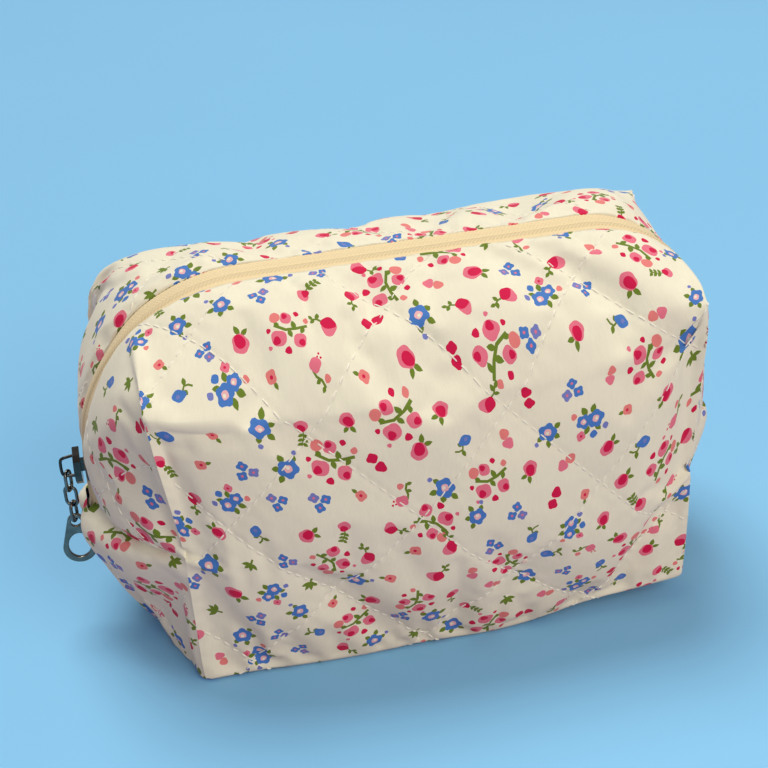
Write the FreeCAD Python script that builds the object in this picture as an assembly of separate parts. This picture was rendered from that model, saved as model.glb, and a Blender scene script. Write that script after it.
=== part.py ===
"""Quilted cotton makeup bag with a zip over the top and a chain pull, in millimetres.

X runs along the bag, the slider sits at the -X end, the front faces -Y and +Z is up.
The origin is the middle of the flat bottom.
"""
import FreeCAD, Part
import math
import os

Vector = FreeCAD.Vector
UP = Vector(0, 0, 1)
ACROSS = Vector(0, 1, 0)
ALONG = Vector(1, 0, 0)

# The stuffed shape of the bag
ridge_height = 114.0          # bottom to zip tape
zip_reach = 105.8             # middle of the bag to the zip at the left end
zip_arc_radius = 57.0         # the zip bends over the left end on this radius
right_reach = 98.0            # the right end is shorter and turns more tightly
right_arc_radius = 41.0
end_seam_height = 45.0        # the zip starts and stops here
corner_half_length = 80.0     # the four upright corner seams
corner_half_depth = 46.0
bottom_half_length = 78.0
shoulder_height = 94.0        # top of the front and back walls
wall_bulge = 6.0              # front and back walls swell past the corner seams
end_tuck = 4.8                # the lower end panels come in by this much ...
end_tuck_height = 30.0        # ... at this height
bottom_edge_radius = 6.0
shoulder_radius = 14.0

# Layers of the quilted cloth, as depths below the outside face
cover_inside = 0.6
wadding_inside = 3.6
lining_inside = 4.0
layer_gap = 0.02

# Zip
band_half_width = 6.2         # tape that shows between the cloth edges
tape_half_width = 9.0
tape_depth = (0.7, 1.3)
coil_depth = (1.32, 3.2)
slit_half_width = 0.7         # room for the post of the slider
end_stop_height = 5.5         # the two halves are sewn together this far above the end seam
stub_side_gap = 0.4           # from the fixed zip ends to the cloth edges
coil_half_width = 2.6
wadding_edge = 9.3
lining_edge = 7.0
stub_angle = 9.0              # fixed zip end under the resting slider, degrees of arc
living_hinge_gap = 0.3

# Slider
slider_length = 10.0
slider_half_width = 4.5
top_plate_depth = (-1.8, 0.4)
bottom_plate_depth = (3.5, 4.6)
plate_overlap = 0.2           # the post and the rails sink this far into the plates
post_half_width = 0.4
post_length = 4.5
rail_height = 1.6
rail_half_width = 0.4
corner_cut = 1.6              # the plates lose their corners
arch_wire = 1.0
arch_reach = 4.4              # arch height over the top plate
arch_half_span = 3.6
arch_slant = 0.6              # each leg of the arch leans in by this much
arch_sink = 0.3               # the legs start this far inside the plate

# Chain and ring pull
wire = 1.1
link_length = 7.8
link_width = 4.8
link_twist = 24.0             # the first link hangs turned by this much
hang_play = 1.15              # wire centre to wire centre where two links hook
hook_play = 0.5               # room between the first link and the bar of the bridge
hook_rise = 0.25              # the first link hangs this far above the lower leg of the arch
eye_play = 0.4                # room between the last link and the top of the eye
ring_outer_radius = 5.4
ring_eye_radius = 2.8
ring_height = 17.7
ring_thickness = 1.4
eye_hole_radius = 1.5
edge_round = 0.35
finger_hole = (4.4, 3.5)      # half height and half width of the oval hole
finger_hole_rise = 0.9        # the hole sits above the middle of the round part

# Binding tapes over the inside seams
binding_width = 7.0
binding_thickness = 0.8
binding_end_gap = 0.3         # between the ends of the corner tapes and the end tapes

left_arc_x = -(zip_reach - zip_arc_radius)
arc_height = ridge_height - zip_arc_radius
hinge_y = corner_half_depth + wall_bulge
plate_face_x = -(zip_reach - top_plate_depth[0])


def arc(first, middle, last):
    return Part.Arc(Vector(*first), Vector(*middle), Vector(*last)).toShape()


def line(first, last):
    return Part.makeLine(Vector(*first), Vector(*last))


def solid_between(edges, travel):
    face = Part.Face(Part.Wire(edges))
    return face.extrude(travel)


def side_profile(depth):
    """Outline seen from the front: flat bottom, full ends, zip arcs and straight top."""
    top = ridge_height - depth
    edges = [line((-bottom_half_length + depth, 0, depth), (bottom_half_length - depth, 0, depth))]
    bends = []
    for side, full_reach, full_radius in ((1, right_reach, right_arc_radius),
                                          (-1, zip_reach, zip_arc_radius)):
        reach = full_reach - depth
        radius = full_radius - depth
        slant = radius * math.sqrt(0.5)
        centre = (full_reach - full_radius, ridge_height - full_radius)
        corner = (side * (bottom_half_length - depth), 0, depth)
        below = (side * (reach - end_tuck), 0, end_tuck_height)
        seam = (side * reach, 0, end_seam_height)
        bend_start = (side * reach, 0, centre[1])
        bend_end = (side * centre[0], 0, top)
        edges.append(arc(corner, below, seam))
        edges.append(line(seam, bend_start))
        edges.append(arc(bend_start, (side * (centre[0] + slant), 0, centre[1] + slant), bend_end))
        bends.append(bend_end)
    edges.append(line(*bends))
    travel = Vector(0, 4 * corner_half_depth, 0)
    solid = solid_between(Part.__sortEdges__(edges), travel)
    solid.translate(Vector(0, -2 * corner_half_depth, 0))
    return solid


def end_profile(depth):
    """Outline seen from the end: bulging walls, a low roof and a flat strip for the zip."""
    foot = corner_half_depth - depth
    wall = hinge_y - depth
    ridge = ridge_height - depth
    shoulder = shoulder_height - depth
    edges = [line((0, -foot, depth), (0, foot, depth))]
    for side in (1, -1):
        edges.append(arc((0, side * foot, depth), (0, side * wall, end_seam_height),
                         (0, side * foot, shoulder)))
        edges.append(line((0, side * foot, shoulder), (0, side * tape_half_width, ridge)))
    edges.append(line((0, -tape_half_width, ridge), (0, tape_half_width, ridge)))
    travel = Vector(4 * zip_reach, 0, 0)
    solid = solid_between(Part.__sortEdges__(edges), travel)
    solid.translate(Vector(-2 * zip_reach, 0, 0))
    shoulders = [edge for edge in solid.Edges if is_long_edge_at(edge, shoulder)]
    feet = [edge for edge in solid.Edges if is_long_edge_at(edge, depth)]
    solid = solid.makeFillet(shoulder_radius - depth, shoulders)
    feet = [edge for edge in solid.Edges if is_long_edge_at(edge, depth)]
    return solid.makeFillet(bottom_edge_radius - depth, feet)


def is_long_edge_at(edge, height):
    box = edge.BoundBox
    return box.XLength > zip_reach and abs(box.ZMin - height) < 0.01 and box.ZLength < 0.01


def plan_profile(depth):
    """Outline seen from above: four corner seams with bulging panels between them."""
    x = corner_half_length - depth
    y = corner_half_depth - depth
    edges = []
    for side, reach in ((1, right_reach), (-1, zip_reach)):
        edges.append(arc((-x, side * y, 0), (0, side * (hinge_y + 2 - depth), 0), (x, side * y, 0)))
        edges.append(arc((side * x, -y, 0), (side * (reach - depth), 0, 0), (side * x, y, 0)))
    travel = Vector(0, 0, 2 * ridge_height)
    solid = solid_between(Part.__sortEdges__(edges), travel)
    solid.translate(Vector(0, 0, -ridge_height / 2))
    return solid


def bag_volume(depth):
    return side_profile(depth).common(end_profile(depth)).common(plan_profile(depth))


def layer(outer_depth, inner_depth):
    return bag_volume(outer_depth).cut(bag_volume(inner_depth))


def box(x_range, y_range, z_range):
    size = [last - first for first, last in (x_range, y_range, z_range)]
    return Part.makeBox(*size, Vector(x_range[0], y_range[0], z_range[0]))


far = 2 * zip_reach
lower_half = box((-far, far), (-far, far), (-1, end_seam_height))
front_side = box((-far, far), (-far, 0), (end_seam_height + living_hinge_gap, far))
back_side = box((-far, far), (0, far), (end_seam_height + living_hinge_gap, far))


def write(name, shape):
    shape = shape.removeSplitter()
    if not shape.Solids or not shape.isValid():
        raise ValueError("bad shape " + name)
    if len(shape.Solids) > 1:
        shape = max(shape.Solids, key=lambda solid: solid.Volume)
    else:
        shape = shape.Solids[0]
    shape.exportStep(os.path.join("parts", name + ".step"))


def zip_strip(edge_half_width):
    """Room for the zip: a strip down the middle above the end seams."""
    return box((-far, far), (-edge_half_width, edge_half_width), (end_seam_height, far))


def make_cloth_layer(name, outer_depth, inner_depth, edge_half_width):
    """One cloth layer: the tub below the end seams and a front and a back mouth panel."""
    shell = layer(outer_depth, inner_depth)
    write(name + "_lower", shell.common(lower_half))
    upper = shell.cut(zip_strip(edge_half_width))
    write(name + "_front_panel", upper.common(front_side))
    write(name + "_back_panel", upper.common(back_side))


def stub_wedge(side):
    """The region of a zip end that stays with the lower bag."""
    rise = far * math.tan(math.radians(stub_angle))
    radius = zip_arc_radius if side < 0 else right_arc_radius
    reach = zip_reach if side < 0 else right_reach
    centre = side * (reach - radius)
    height = ridge_height - radius
    corners = [(centre, height), (centre + side * far, height + rise),
               (centre + side * far, end_seam_height), (centre, end_seam_height)]
    points = [Vector(x, -far / 2, z) for x, z in corners]
    return Part.Face(Part.makePolygon(points + points[:1])).extrude(Vector(0, far, 0))


def make_zip_layer(name, end_name, depths, outer_edge, end_edge):
    """Front and back halves of one zip layer, and its two fixed ends over the end seams."""
    shell = layer(*depths)
    ends = {"left": stub_wedge(-1), "right": stub_wedge(1)}
    for half, direction in (("front", -1), ("back", 1)):
        edges = sorted((direction * slit_half_width, direction * outer_edge))
        strip = shell.common(box((-far, far), edges, (end_seam_height, far)))
        write(name + "_" + half, strip.cut(ends["left"]).cut(ends["right"]))
    slit = box((-far, far), (-slit_half_width, slit_half_width),
               (end_seam_height + end_stop_height, far))
    for end, wedge in ends.items():
        strip = shell.common(zip_strip(end_edge)).common(wedge)
        write(end_name % end, strip.cut(slit))


def curved_plate(depths, half_width, length):
    """A plate wrapped on the zip arc, centred where the slider rests."""
    outer = Part.makeCylinder(zip_arc_radius - depths[0], 2 * half_width,
                              Vector(left_arc_x, -half_width, arc_height), ACROSS)
    inner = Part.makeCylinder(zip_arc_radius - depths[1], 2 * half_width,
                              Vector(left_arc_x, -half_width, arc_height), ACROSS)
    window = box((-far, left_arc_x), (-half_width, half_width),
                 (arc_height - length / 2, arc_height + length / 2))
    return outer.cut(inner).common(window)


def make_slider():
    corners = Part.makeCompound([chamfer_wedge(side, end) for side in (1, -1) for end in (1, -1)])
    top = curved_plate(top_plate_depth, slider_half_width, slider_length).cut(corners)
    face_x = plate_face_x + edge_round
    rims = [edge for edge in top.Edges if edge.BoundBox.XMax < face_x]
    top = top.makeFillet(edge_round, rims)
    bottom = curved_plate(bottom_plate_depth, slider_half_width, slider_length)
    post = curved_plate((top_plate_depth[1] - plate_overlap, bottom_plate_depth[0] + plate_overlap),
                        post_half_width, post_length)
    rail_depth = (bottom_plate_depth[0] - rail_height, bottom_plate_depth[0] + plate_overlap)
    rails = []
    for side in (1, -1):
        rail = curved_plate(rail_depth, rail_half_width, slider_length)
        rail.translate(Vector(0, side * (slider_half_width - rail_half_width), 0))
        rails.append(rail)
    lower_parts = [piece.cut(corners) for piece in [bottom] + rails]
    write("slider_body", top.fuse([post] + lower_parts))


def chamfer_wedge(side, end):
    """A corner of the slider body cut off in plan."""
    y = side * slider_half_width
    z = arc_height + end * slider_length / 2
    points = [Vector(0, y - side * corner_cut, z), Vector(0, y, z - end * corner_cut),
              Vector(0, y + side, z - end * corner_cut), Vector(0, y + side, z + end),
              Vector(0, y - side * corner_cut, z + end)]
    wedge = Part.Face(Part.makePolygon(points + points[:1])).extrude(Vector(far, 0, 0))
    wedge.translate(Vector(-far, 0, 0))
    return wedge


def make_arch():
    """The bridge over the slider: a bent bar the first link hangs from."""
    out_x = plate_face_x - arch_reach + arch_wire / 2
    root_x = plate_face_x + arch_sink
    low = arc_height - arch_half_span
    high = arc_height + arch_half_span
    path = [Vector(root_x, 0, low), Vector(out_x, 0, low + arch_slant),
            Vector(out_x, 0, high - arch_slant), Vector(root_x, 0, high)]
    wire_path = Part.makePolygon(path)
    section = Part.Wire(Part.makeCircle(arch_wire / 2, path[0], path[1] - path[0]))
    bar = wire_path.makePipeShell([section], True, False, 2)
    plate = curved_plate(top_plate_depth, slider_half_width, slider_length)
    write("slider_bridge", bar.cut(plate))


def direction(twist):
    angle = math.radians(90 - twist)
    return Vector(math.cos(angle), math.sin(angle), 0)


def chain_link(centre, sideways):
    """An oval wire link standing in the plane of Z and the given sideways direction."""
    radius = (link_width - wire) / 2
    straight = (link_length - wire) / 2 - radius
    wide = Vector(sideways) * radius
    rise = UP * straight
    tip = UP * (straight + radius)
    edges = [Part.Arc(centre + rise + wide, centre + tip, centre + rise - wide).toShape(),
             Part.makeLine(centre + rise - wide, centre - rise - wide),
             Part.Arc(centre - rise - wide, centre - tip, centre - rise + wide).toShape(),
             Part.makeLine(centre - rise + wide, centre + rise + wide)]
    path = Part.Wire(edges)
    section = Part.Wire(Part.makeCircle(wire / 2, centre + rise + wide, UP))
    return path.makePipeShell([section], True, True)


def chain_layout():
    """Centres of the three links and of the eye of the ring, hanging straight down."""
    x = plate_face_x - arch_reach + arch_wire + wire / 2 + hook_play
    top_wire = arc_height - arch_half_span + arch_slant + arch_wire / 2 + wire / 2 + hook_rise
    half_pitch = (link_length - wire) / 2
    centres = []
    for number in range(3):
        centres.append(Vector(x, 0, top_wire - half_pitch))
        top_wire = top_wire - 2 * half_pitch + hang_play
    ring_bar = centres[2].z - half_pitch
    return centres, Vector(x, 0, ring_bar)


def make_chain():
    centres, ring_bar = chain_layout()
    for number, centre in enumerate(centres):
        twist = link_twist if number % 2 == 0 else link_twist - 90
        write("chain_link_%d" % (number + 1), chain_link(centre, direction(twist)))
    make_ring(ring_bar)


def make_ring(bar):
    """A flat teardrop ring: a small eye at the top and an oval finger hole below."""
    eye = Vector(bar.x, -ring_thickness / 2, bar.z - (eye_hole_radius - wire / 2 - eye_play))
    drop = ring_height - ring_outer_radius - ring_eye_radius
    round_centre = eye - UP * drop
    lean = math.asin((ring_outer_radius - ring_eye_radius) / drop)
    outline = []
    for side in (1, -1):
        touch = Vector(side * math.cos(lean), 0, math.sin(lean))
        outline.append(Part.makeLine(eye + touch * ring_eye_radius,
                                     round_centre + touch * ring_outer_radius))
    left = Vector(-math.cos(lean), 0, math.sin(lean))
    right = Vector(math.cos(lean), 0, math.sin(lean))
    outline.append(Part.Arc(eye + left * ring_eye_radius, eye + UP * ring_eye_radius,
                            eye + right * ring_eye_radius).toShape())
    outline.append(Part.Arc(round_centre + left * ring_outer_radius,
                            round_centre - UP * ring_outer_radius,
                            round_centre + right * ring_outer_radius).toShape())
    plate = solid_between(Part.__sortEdges__(outline), ACROSS * ring_thickness)
    hole_centre = round_centre + UP * finger_hole_rise
    oval = Part.Ellipse(hole_centre + UP * finger_hole[0], hole_centre + ALONG * finger_hole[1],
                        hole_centre).toShape()
    hole = solid_between([oval], ACROSS * ring_thickness)
    eye_hole = Part.makeCylinder(eye_hole_radius, ring_thickness, eye, ACROSS)
    ring = plate.cut(hole).cut(eye_hole)
    rims = [edge for edge in ring.Edges if edge.BoundBox.YLength < 0.01]
    write("ring_pull", ring.makeFillet(edge_round, rims))


def make_bindings():
    """Bias tapes inside the bag over the four corner seams and the two end seams."""
    face = layer(lining_inside + layer_gap, lining_inside + binding_thickness)
    end_tape_foot = end_seam_height - binding_width / 2
    corner_heights = (lining_inside + binding_thickness, end_tape_foot - binding_end_gap)
    end_heights = (end_tape_foot, end_seam_height - binding_end_gap)
    end_reach = corner_half_depth - 2 * binding_thickness - lining_inside
    for x_side, x_name in ((-1, "left"), (1, "right")):
        corner_x = sorted((x_side * (corner_half_length - binding_width), x_side * far))
        for y_side, y_name in ((-1, "front"), (1, "back")):
            y = sorted((y_side * (corner_half_depth - binding_width), y_side * far))
            write("corner_binding_" + x_name + "_" + y_name,
                  face.common(box(corner_x, y, corner_heights)))
        end_x = sorted((x_side * zip_arc_radius, x_side * far))
        write("end_binding_" + x_name, face.common(box(end_x, (-end_reach, end_reach), end_heights)))


os.makedirs("parts", exist_ok=True)
make_cloth_layer("cover", 0, cover_inside, band_half_width)
make_cloth_layer("wadding", cover_inside + layer_gap, wadding_inside, wadding_edge)
make_cloth_layer("lining", wadding_inside + layer_gap, lining_inside, lining_edge)
make_zip_layer("zip_tape", "zip_%s_end", tape_depth, tape_half_width, band_half_width - stub_side_gap)
make_zip_layer("zip_coil", "zip_%s_end_coil", coil_depth, coil_half_width, coil_half_width)
make_slider()
make_arch()
make_chain()
make_bindings()
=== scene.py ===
"""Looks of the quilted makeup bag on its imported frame: cloth, print, stitches, zip and metal."""

import math
import random

import bpy
import numpy as np
from mathutils import Matrix, Vector
from mathutils.geometry import delaunay_2d_cdt


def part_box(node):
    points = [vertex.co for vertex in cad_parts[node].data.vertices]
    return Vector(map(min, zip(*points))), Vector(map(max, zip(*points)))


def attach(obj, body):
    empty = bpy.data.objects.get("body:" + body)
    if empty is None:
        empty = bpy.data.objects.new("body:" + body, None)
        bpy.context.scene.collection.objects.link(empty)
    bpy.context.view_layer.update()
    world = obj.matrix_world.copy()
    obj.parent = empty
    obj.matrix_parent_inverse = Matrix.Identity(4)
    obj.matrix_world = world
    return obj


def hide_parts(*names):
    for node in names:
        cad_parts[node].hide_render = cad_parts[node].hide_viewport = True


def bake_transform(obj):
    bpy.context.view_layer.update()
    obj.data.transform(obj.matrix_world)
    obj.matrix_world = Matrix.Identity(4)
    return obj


MM = 0.001                  # lengths below are in millimetres, apart from those of the stage and lights

# The zip path in the middle plane of the bag, in millimetres: a straight top and a bend at each end
RIDGE = 114.0
SEAM_Z = 45.0
LEFT_REACH = 105.8
LEFT_RADIUS = 57.0
RIGHT_REACH = 98.0
RIGHT_RADIUS = 41.0
CLOTH_EDGE = 6.7            # from the middle plane to where the cloth starts to roll under

# The four upright corner seams; the back stands taller and wider than the front
LEFT_X_SEAM = 78.5
LEFT_X_FOOT = 78.0
RIGHT_X_SEAM = 76.5
RIGHT_X_FOOT = 75.0
CORNER_Y_SEAM = 46.0
CORNER_Y_FOOT = 45.0
FOOT_Z = 0.8
FRONT = {"left_x": 85.0, "right_x": 84.5, "corner_y": 43.0, "left_z": 91.0, "right_z": 101.0,
         "middle_z": 86.0, "left_fullness": 2.1, "right_fullness": 1.05, "bend": 0.8,
         "round": 5, "lift": 6.5}
BACK = {"left_x": 97.5, "right_x": 92.5, "corner_y": 46.5, "left_z": 92.8, "right_z": 103.5,
        "middle_z": 103.5, "left_fullness": 4.4, "right_fullness": 3.2, "bend": 1.8,
        "round": 10, "lift": 0.0}
MIDDLE_FULLNESS = 2.3
WALL_BULGE = 6.0
SHOULDER_BOW = 2.0          # the long edges bow outwards
FOOT_BOW = 1.5
LIFT_RANGE = (5, 75)        # along X, where the front foot leaves the table
SEAM_RECESS = 4.0           # the level end seams are pulled in between soft rolls of cloth
RECESS_INNER = 15.0         # fully so between these distances from the middle plane
RECESS_OUTER = 36.0
RECESS_ROWS = (0.45, 0.12)  # and the rows just above them partly
LEFT_LIP = 3.2              # how far the lower end panels swell out just below them
RIGHT_LIP = 0.8
LIP_RISE = 3.2
LIP_OUTER = 30.0
DIMPLE = 6.4                # and how far they dip under the end of the zip
DIMPLE_WIDTH = 7.0
DIMPLE_RISE = 1.3
LEFT_FOOT_BULGE = 0.42      # how much of the swelling of the ends is left at the bottom
RIGHT_FOOT_BULGE = 0.15
FLAP_CURVE = 0.85           # how the swelling grows from the bottom to the end seam
FLAP_START = 84.0           # zip length from the middle to where the end panels begin

# Cells of the coarse cloth
UP_ROWS = 18
LOW_ROWS = 14
MID_COLS = 46
TOP_ROWS = 12
BASE_ROWS = TOP_ROWS + 1

# Swelling of the coarse cloth
CLOTH = {"quality": 6, "mass": 0.2, "tension_stiffness": 25, "compression_stiffness": 25,
         "shear_stiffness": 8, "bending_stiffness": 1.5, "vertex_group_mass": "held",
         "use_pressure": True, "uniform_pressure_force": 2.2, "shrink_min": -0.03}
FRAMES = 24
SEAM_HOLD = 0.35            # the seams give less than the panels
CORNER_ROUND = 7.0          # size of the soft rounding at the four upper corners
CORNER_PULL = 0.6
CORNER_PASSES = 3
RIGHT_SWELL = 0.08          # the share of the swelling that the flatter right end keeps
RIGHT_FADE = (72.5, 84.5)   # along X, where it is reached
MERGE_STEPS = 20            # points that agree to 1/20 mm are one point

# The same cloth laid flat: u runs along the bag, v from the zip edge round to the middle below
TOP_FLAT = 41.0
SEAM_FLAT = 90.0
FOOT_FLAT = 138.0
MIDDLE_FLAT = 184.0
TOP_REACH = 140.0
LOW_REACH = 134.0
SEAM_STEPS = 60
CLOTH_STEP = 1.15           # size of the small triangles of the cloth
LOWEST = 0.05               # nothing goes below this height

# The folded edge beside the zip
ROLL_RADIUS = 0.4
ROLL_FLAT = 1.2
EDGE_SINK = 0.55            # the cloth edge lies level with the tape
END_SINK = 1.0              # both dip at the ends of the zip
DIP_RANGE = (118, 132)      # zip lengths from the middle where the dip sets in
END_CAMBER = 2.2            # and the zip band is arched there, high in the middle and low at its edges
CAMBER_RANGE = (80, 112)
SEAM_TUCK = 0.55            # the stitched seams lie in a narrow valley

# Quilting, in flat millimetres
QUILT_PERIOD = 57.5
QUILT_FALLING = 29.0        # u - v on the lines of one family
QUILT_RISING = 8.0          # u + v on the lines of the other
SLANT = math.sqrt(0.5)      # both slant at 45 degrees
LINE_REACH = 260            # how far the lines are followed from the middle
LINE_COUNT = 7              # lines of a family on each side of the middle one
PUFF = 1.25
PUFF_WIDTH = 6.0
GROOVE = 0.20               # depth of a quilting line, and how much deeper it is at each stitch
GROOVE_PULL = 0.26
GROOVE_WIDTH = 0.8
PUCKERS = ((0.11, 5.3, 0.0), (0.09, 8.9, 1.3))      # height, pitch and shift of small folds beside it
PUCKER_REACH = 5.0
STITCH_PITCH = 3.6
STITCH_LENGTH = 2.8
THREAD = 0.22               # half the thickness of the sewing thread
PUFF_SHARE = 0.8            # how much of the height over the bare surface is kept
SEAM_FADE = 7.0             # the puffs and creases fade out this near a seam
PINCH = 0.20                # small gathers along the seams
PINCH_PITCH = 6.1
FOOT_CALM = 0.65            # how much flatter the quilting is along the bottom fold
RIGHT_CALM = 0.55           # and at the right end
CALM_RANGE = (84, 110)

# Layers under the cover: depth below the outside and thickness
WADDING_DEPTH = 2.7
WADDING_THICKNESS = 1.2
LINING_DEPTH = 4.0
LINING_THICKNESS = 0.4
LINING_EDGE = 5.8           # the lining is sewn to the tape here
LINING_EDGE_DEPTH = 1.5

# Zip tape: y from the middle line, with a cord-like ridge beside the middle
TAPE_INNER = 0.12
TAPE_OUTER = 7.9
RIDGE_OUTER = 3.2
FRONT_RIDGE = 0.43
BACK_RIDGE = 0.16
TAPE_DEPTH = 0.85
TAPE_SLOPE = 1.2            # how far its hidden edge drops under the cloth
TAPE_THICKNESS = 0.45
RIDGE_COLS = 12
WING_COLS = 18
KNIT_PITCH = 1.25
WALE_PITCH = 1.3
KNIT_SLANT = 0.55
END_HEM = 2.0

# Nylon coil under the tape
COIL_PITCH = 1.3
COIL_WIRE = 0.34
COIL_START = 133.0          # it stops short of the end seams
COIL_MIDDLE = 1.72
COIL_DEPTH = 2.3
COIL_HALF_WIDTH = 0.92
COIL_HALF_HEIGHT = 0.58

# Bindings on the seams inside
BINDING_GAP = 4.6           # from the outside of the bag to the binding
CORNER_BINDING = 3.0        # half widths
END_BINDING = 2.2
BINDING_THICK = 0.7

# Slider arch
ARCH_WIRE = 1.0
ARCH_SLANT = 0.6            # how far its two legs lean towards each other
ARCH_CUTS = (0.16, 0.25, 0.25)      # shares of each run that are cut off to round the bends

# Stage, light and camera
CAMERA_PLACE = Vector((-86.4, -448.7, 307.3)) * MM
CAMERA_YAW = math.radians(9.9)
CAMERA_PITCH = math.radians(27.7)
CAMERA_ROLL = math.radians(-4.4)
CAMERA_LENS = 76.2
SUN_PLACE = (-0.10, 0.56, 1.22)
SUN_STRENGTH = 1.92
SUN_ANGLE = math.radians(32)
SUN_COLOUR = (1, 0.98, 0.87)
FILL_PLACE = (1.2, -2.1, 1.6)
FILL_SIZE = (2.4, 1.8)
FILL_POWER = 41.0
FILL_COLOUR = (1, 0.93, 0.80)
ROOM_COLOUR = (0.98, 0.94, 0.98, 1)
ROOM_STRENGTH = 0.28
STAGE_HALF = 12.0
CARD_DROP = 0.002

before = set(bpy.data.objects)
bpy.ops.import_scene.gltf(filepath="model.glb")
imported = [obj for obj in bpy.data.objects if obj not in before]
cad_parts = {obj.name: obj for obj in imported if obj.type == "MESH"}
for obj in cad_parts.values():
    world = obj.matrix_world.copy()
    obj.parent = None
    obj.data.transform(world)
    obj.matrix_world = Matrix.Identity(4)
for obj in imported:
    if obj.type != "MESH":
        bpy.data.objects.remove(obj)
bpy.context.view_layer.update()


def smooth(value, low, high):
    """Rises softly from 0 at low to 1 at high."""
    t = np.clip((value - low) / (high - low), 0, 1)
    return t * t * (3 - 2 * t)


def bell(distance, width):
    """Falls softly from 1 at no distance."""
    return np.exp(-(distance / width) ** 2)


def add_object(name, data):
    """A new object in the scene."""
    made = bpy.data.objects.new(name, data)
    bpy.context.scene.collection.objects.link(made)
    return made


def zip_length(side):
    """Length of the zip from the middle of the top down to one end seam."""
    reach, radius = (LEFT_REACH, LEFT_RADIUS) if side < 0 else (RIGHT_REACH, RIGHT_RADIUS)
    return reach - radius + radius * math.pi / 2 + RIDGE - radius - SEAM_Z


def zip_path(s):
    """Place (x, z) on the zip and its outward direction, at a length s from the middle of the top."""
    side = np.sign(s)
    length = np.abs(s)
    radius = np.where(s < 0, LEFT_RADIUS, RIGHT_RADIUS)
    bend_x = np.where(s < 0, LEFT_REACH, RIGHT_REACH) - radius
    angle = np.clip((length - bend_x) / radius, 0, math.pi / 2)
    straight = np.minimum(length, bend_x)
    down = np.maximum(length - bend_x - radius * math.pi / 2, 0)
    place = np.stack([side * (straight + radius * np.sin(angle)),
                      RIDGE - radius * (1 - np.cos(angle)) - down], -1)
    outward = np.stack([side * np.sin(angle), np.cos(angle)], -1)
    return place, outward


def end_dip(s):
    return END_SINK * smooth(np.abs(s), *DIP_RANGE)


def end_camber(s, y):
    """How far the arched zip band drops from its middle line, near the ends of the zip."""
    share = np.minimum(np.abs(y), CLOTH_EDGE) / CLOTH_EDGE
    return END_CAMBER * smooth(np.abs(s), *CAMBER_RANGE) * share ** 2


def zip_stations():
    """Lengths along the zip of the columns of the coarse top."""
    share = np.linspace(0, 1, UP_ROWS + 1)
    left = FLAP_START + (zip_length(-1) - FLAP_START) * share
    right = FLAP_START + (zip_length(1) - FLAP_START) * share
    middle = FLAP_START * np.linspace(-1, 1, MID_COLS + 1)
    return np.concatenate([-left[::-1][:-1], middle, right[1:]])


def seam_x(side):
    return LEFT_X_SEAM if side < 0 else RIGHT_X_SEAM


def foot_x(side):
    return LEFT_X_FOOT if side < 0 else RIGHT_X_FOOT


def foot_lift(shape, x):
    """The right end of the front stands a little off the table."""
    return shape["lift"] * smooth(x, *LIFT_RANGE)


def upper_corner_seam(shape, side, share):
    """Front corner seam from its top (share 0) to the end seam (share 1)."""
    top = shape["left_z"] if side < 0 else shape["right_z"]
    corner_x = shape["left_x"] if side < 0 else shape["right_x"]
    x = side * (corner_x + (seam_x(side) - corner_x) * share ** shape["bend"])
    y = -(shape["corner_y"] + (CORNER_Y_SEAM - shape["corner_y"]) * share)
    return np.stack([x, y, top + (SEAM_Z - top) * share], -1)


def lower_corner_seam(shape, side, share):
    """Front corner seam from the end seam (share 0) to the foot (share 1)."""
    x = side * (seam_x(side) + (foot_x(side) - seam_x(side)) * share ** 2)
    y = -(CORNER_Y_SEAM + (CORNER_Y_FOOT - CORNER_Y_SEAM) * share)
    low = FOOT_Z + foot_lift(shape, side * foot_x(side))
    return np.stack([x, y, SEAM_Z + (low - SEAM_Z) * share], -1)


def shoulder(shape, share):
    """The soft edge between a wall and the top, share -1 to 1 along X."""
    corner = np.where(share < 0, shape["left_z"], shape["right_z"])
    x = share * np.where(share < 0, shape["left_x"], shape["right_x"])
    z = shape["middle_z"] + (corner - shape["middle_z"]) * np.abs(share) ** shape["round"]
    y = -shape["corner_y"] - SHOULDER_BOW * (1 - share ** 2)
    return np.stack([x, y, z], -1)


def foot(shape, share):
    x = share * np.where(share < 0, LEFT_X_FOOT, RIGHT_X_FOOT)
    y = -CORNER_Y_FOOT - FOOT_BOW * (1 - share ** 2)
    return np.stack([x, y, FOOT_Z + foot_lift(shape, x)], -1)


def fullness(y, power):
    """How far a point is pushed out between the corner seams (0) and the zip (1)."""
    bulge = 1 - (np.abs(y) / CORNER_Y_SEAM) ** power
    return np.clip(bulge / (1 - (CLOTH_EDGE / CORNER_Y_SEAM) ** power), 0, 1)


def end_seam(side, y):
    """The level seam where the upper and lower end panels meet."""
    power = FRONT["left_fullness"] if side < 0 else FRONT["right_fullness"]
    reach = LEFT_REACH if side < 0 else RIGHT_REACH
    off_zip = smooth(np.abs(y), CLOTH_EDGE, RECESS_INNER)
    recess = SEAM_RECESS * off_zip * smooth(-np.abs(y), -CORNER_Y_SEAM, -RECESS_OUTER)
    x = side * (seam_x(side) + (reach - seam_x(side)) * fullness(y, power) - recess)
    return np.stack([x, y, SEAM_Z + 0 * y], -1)


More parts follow.
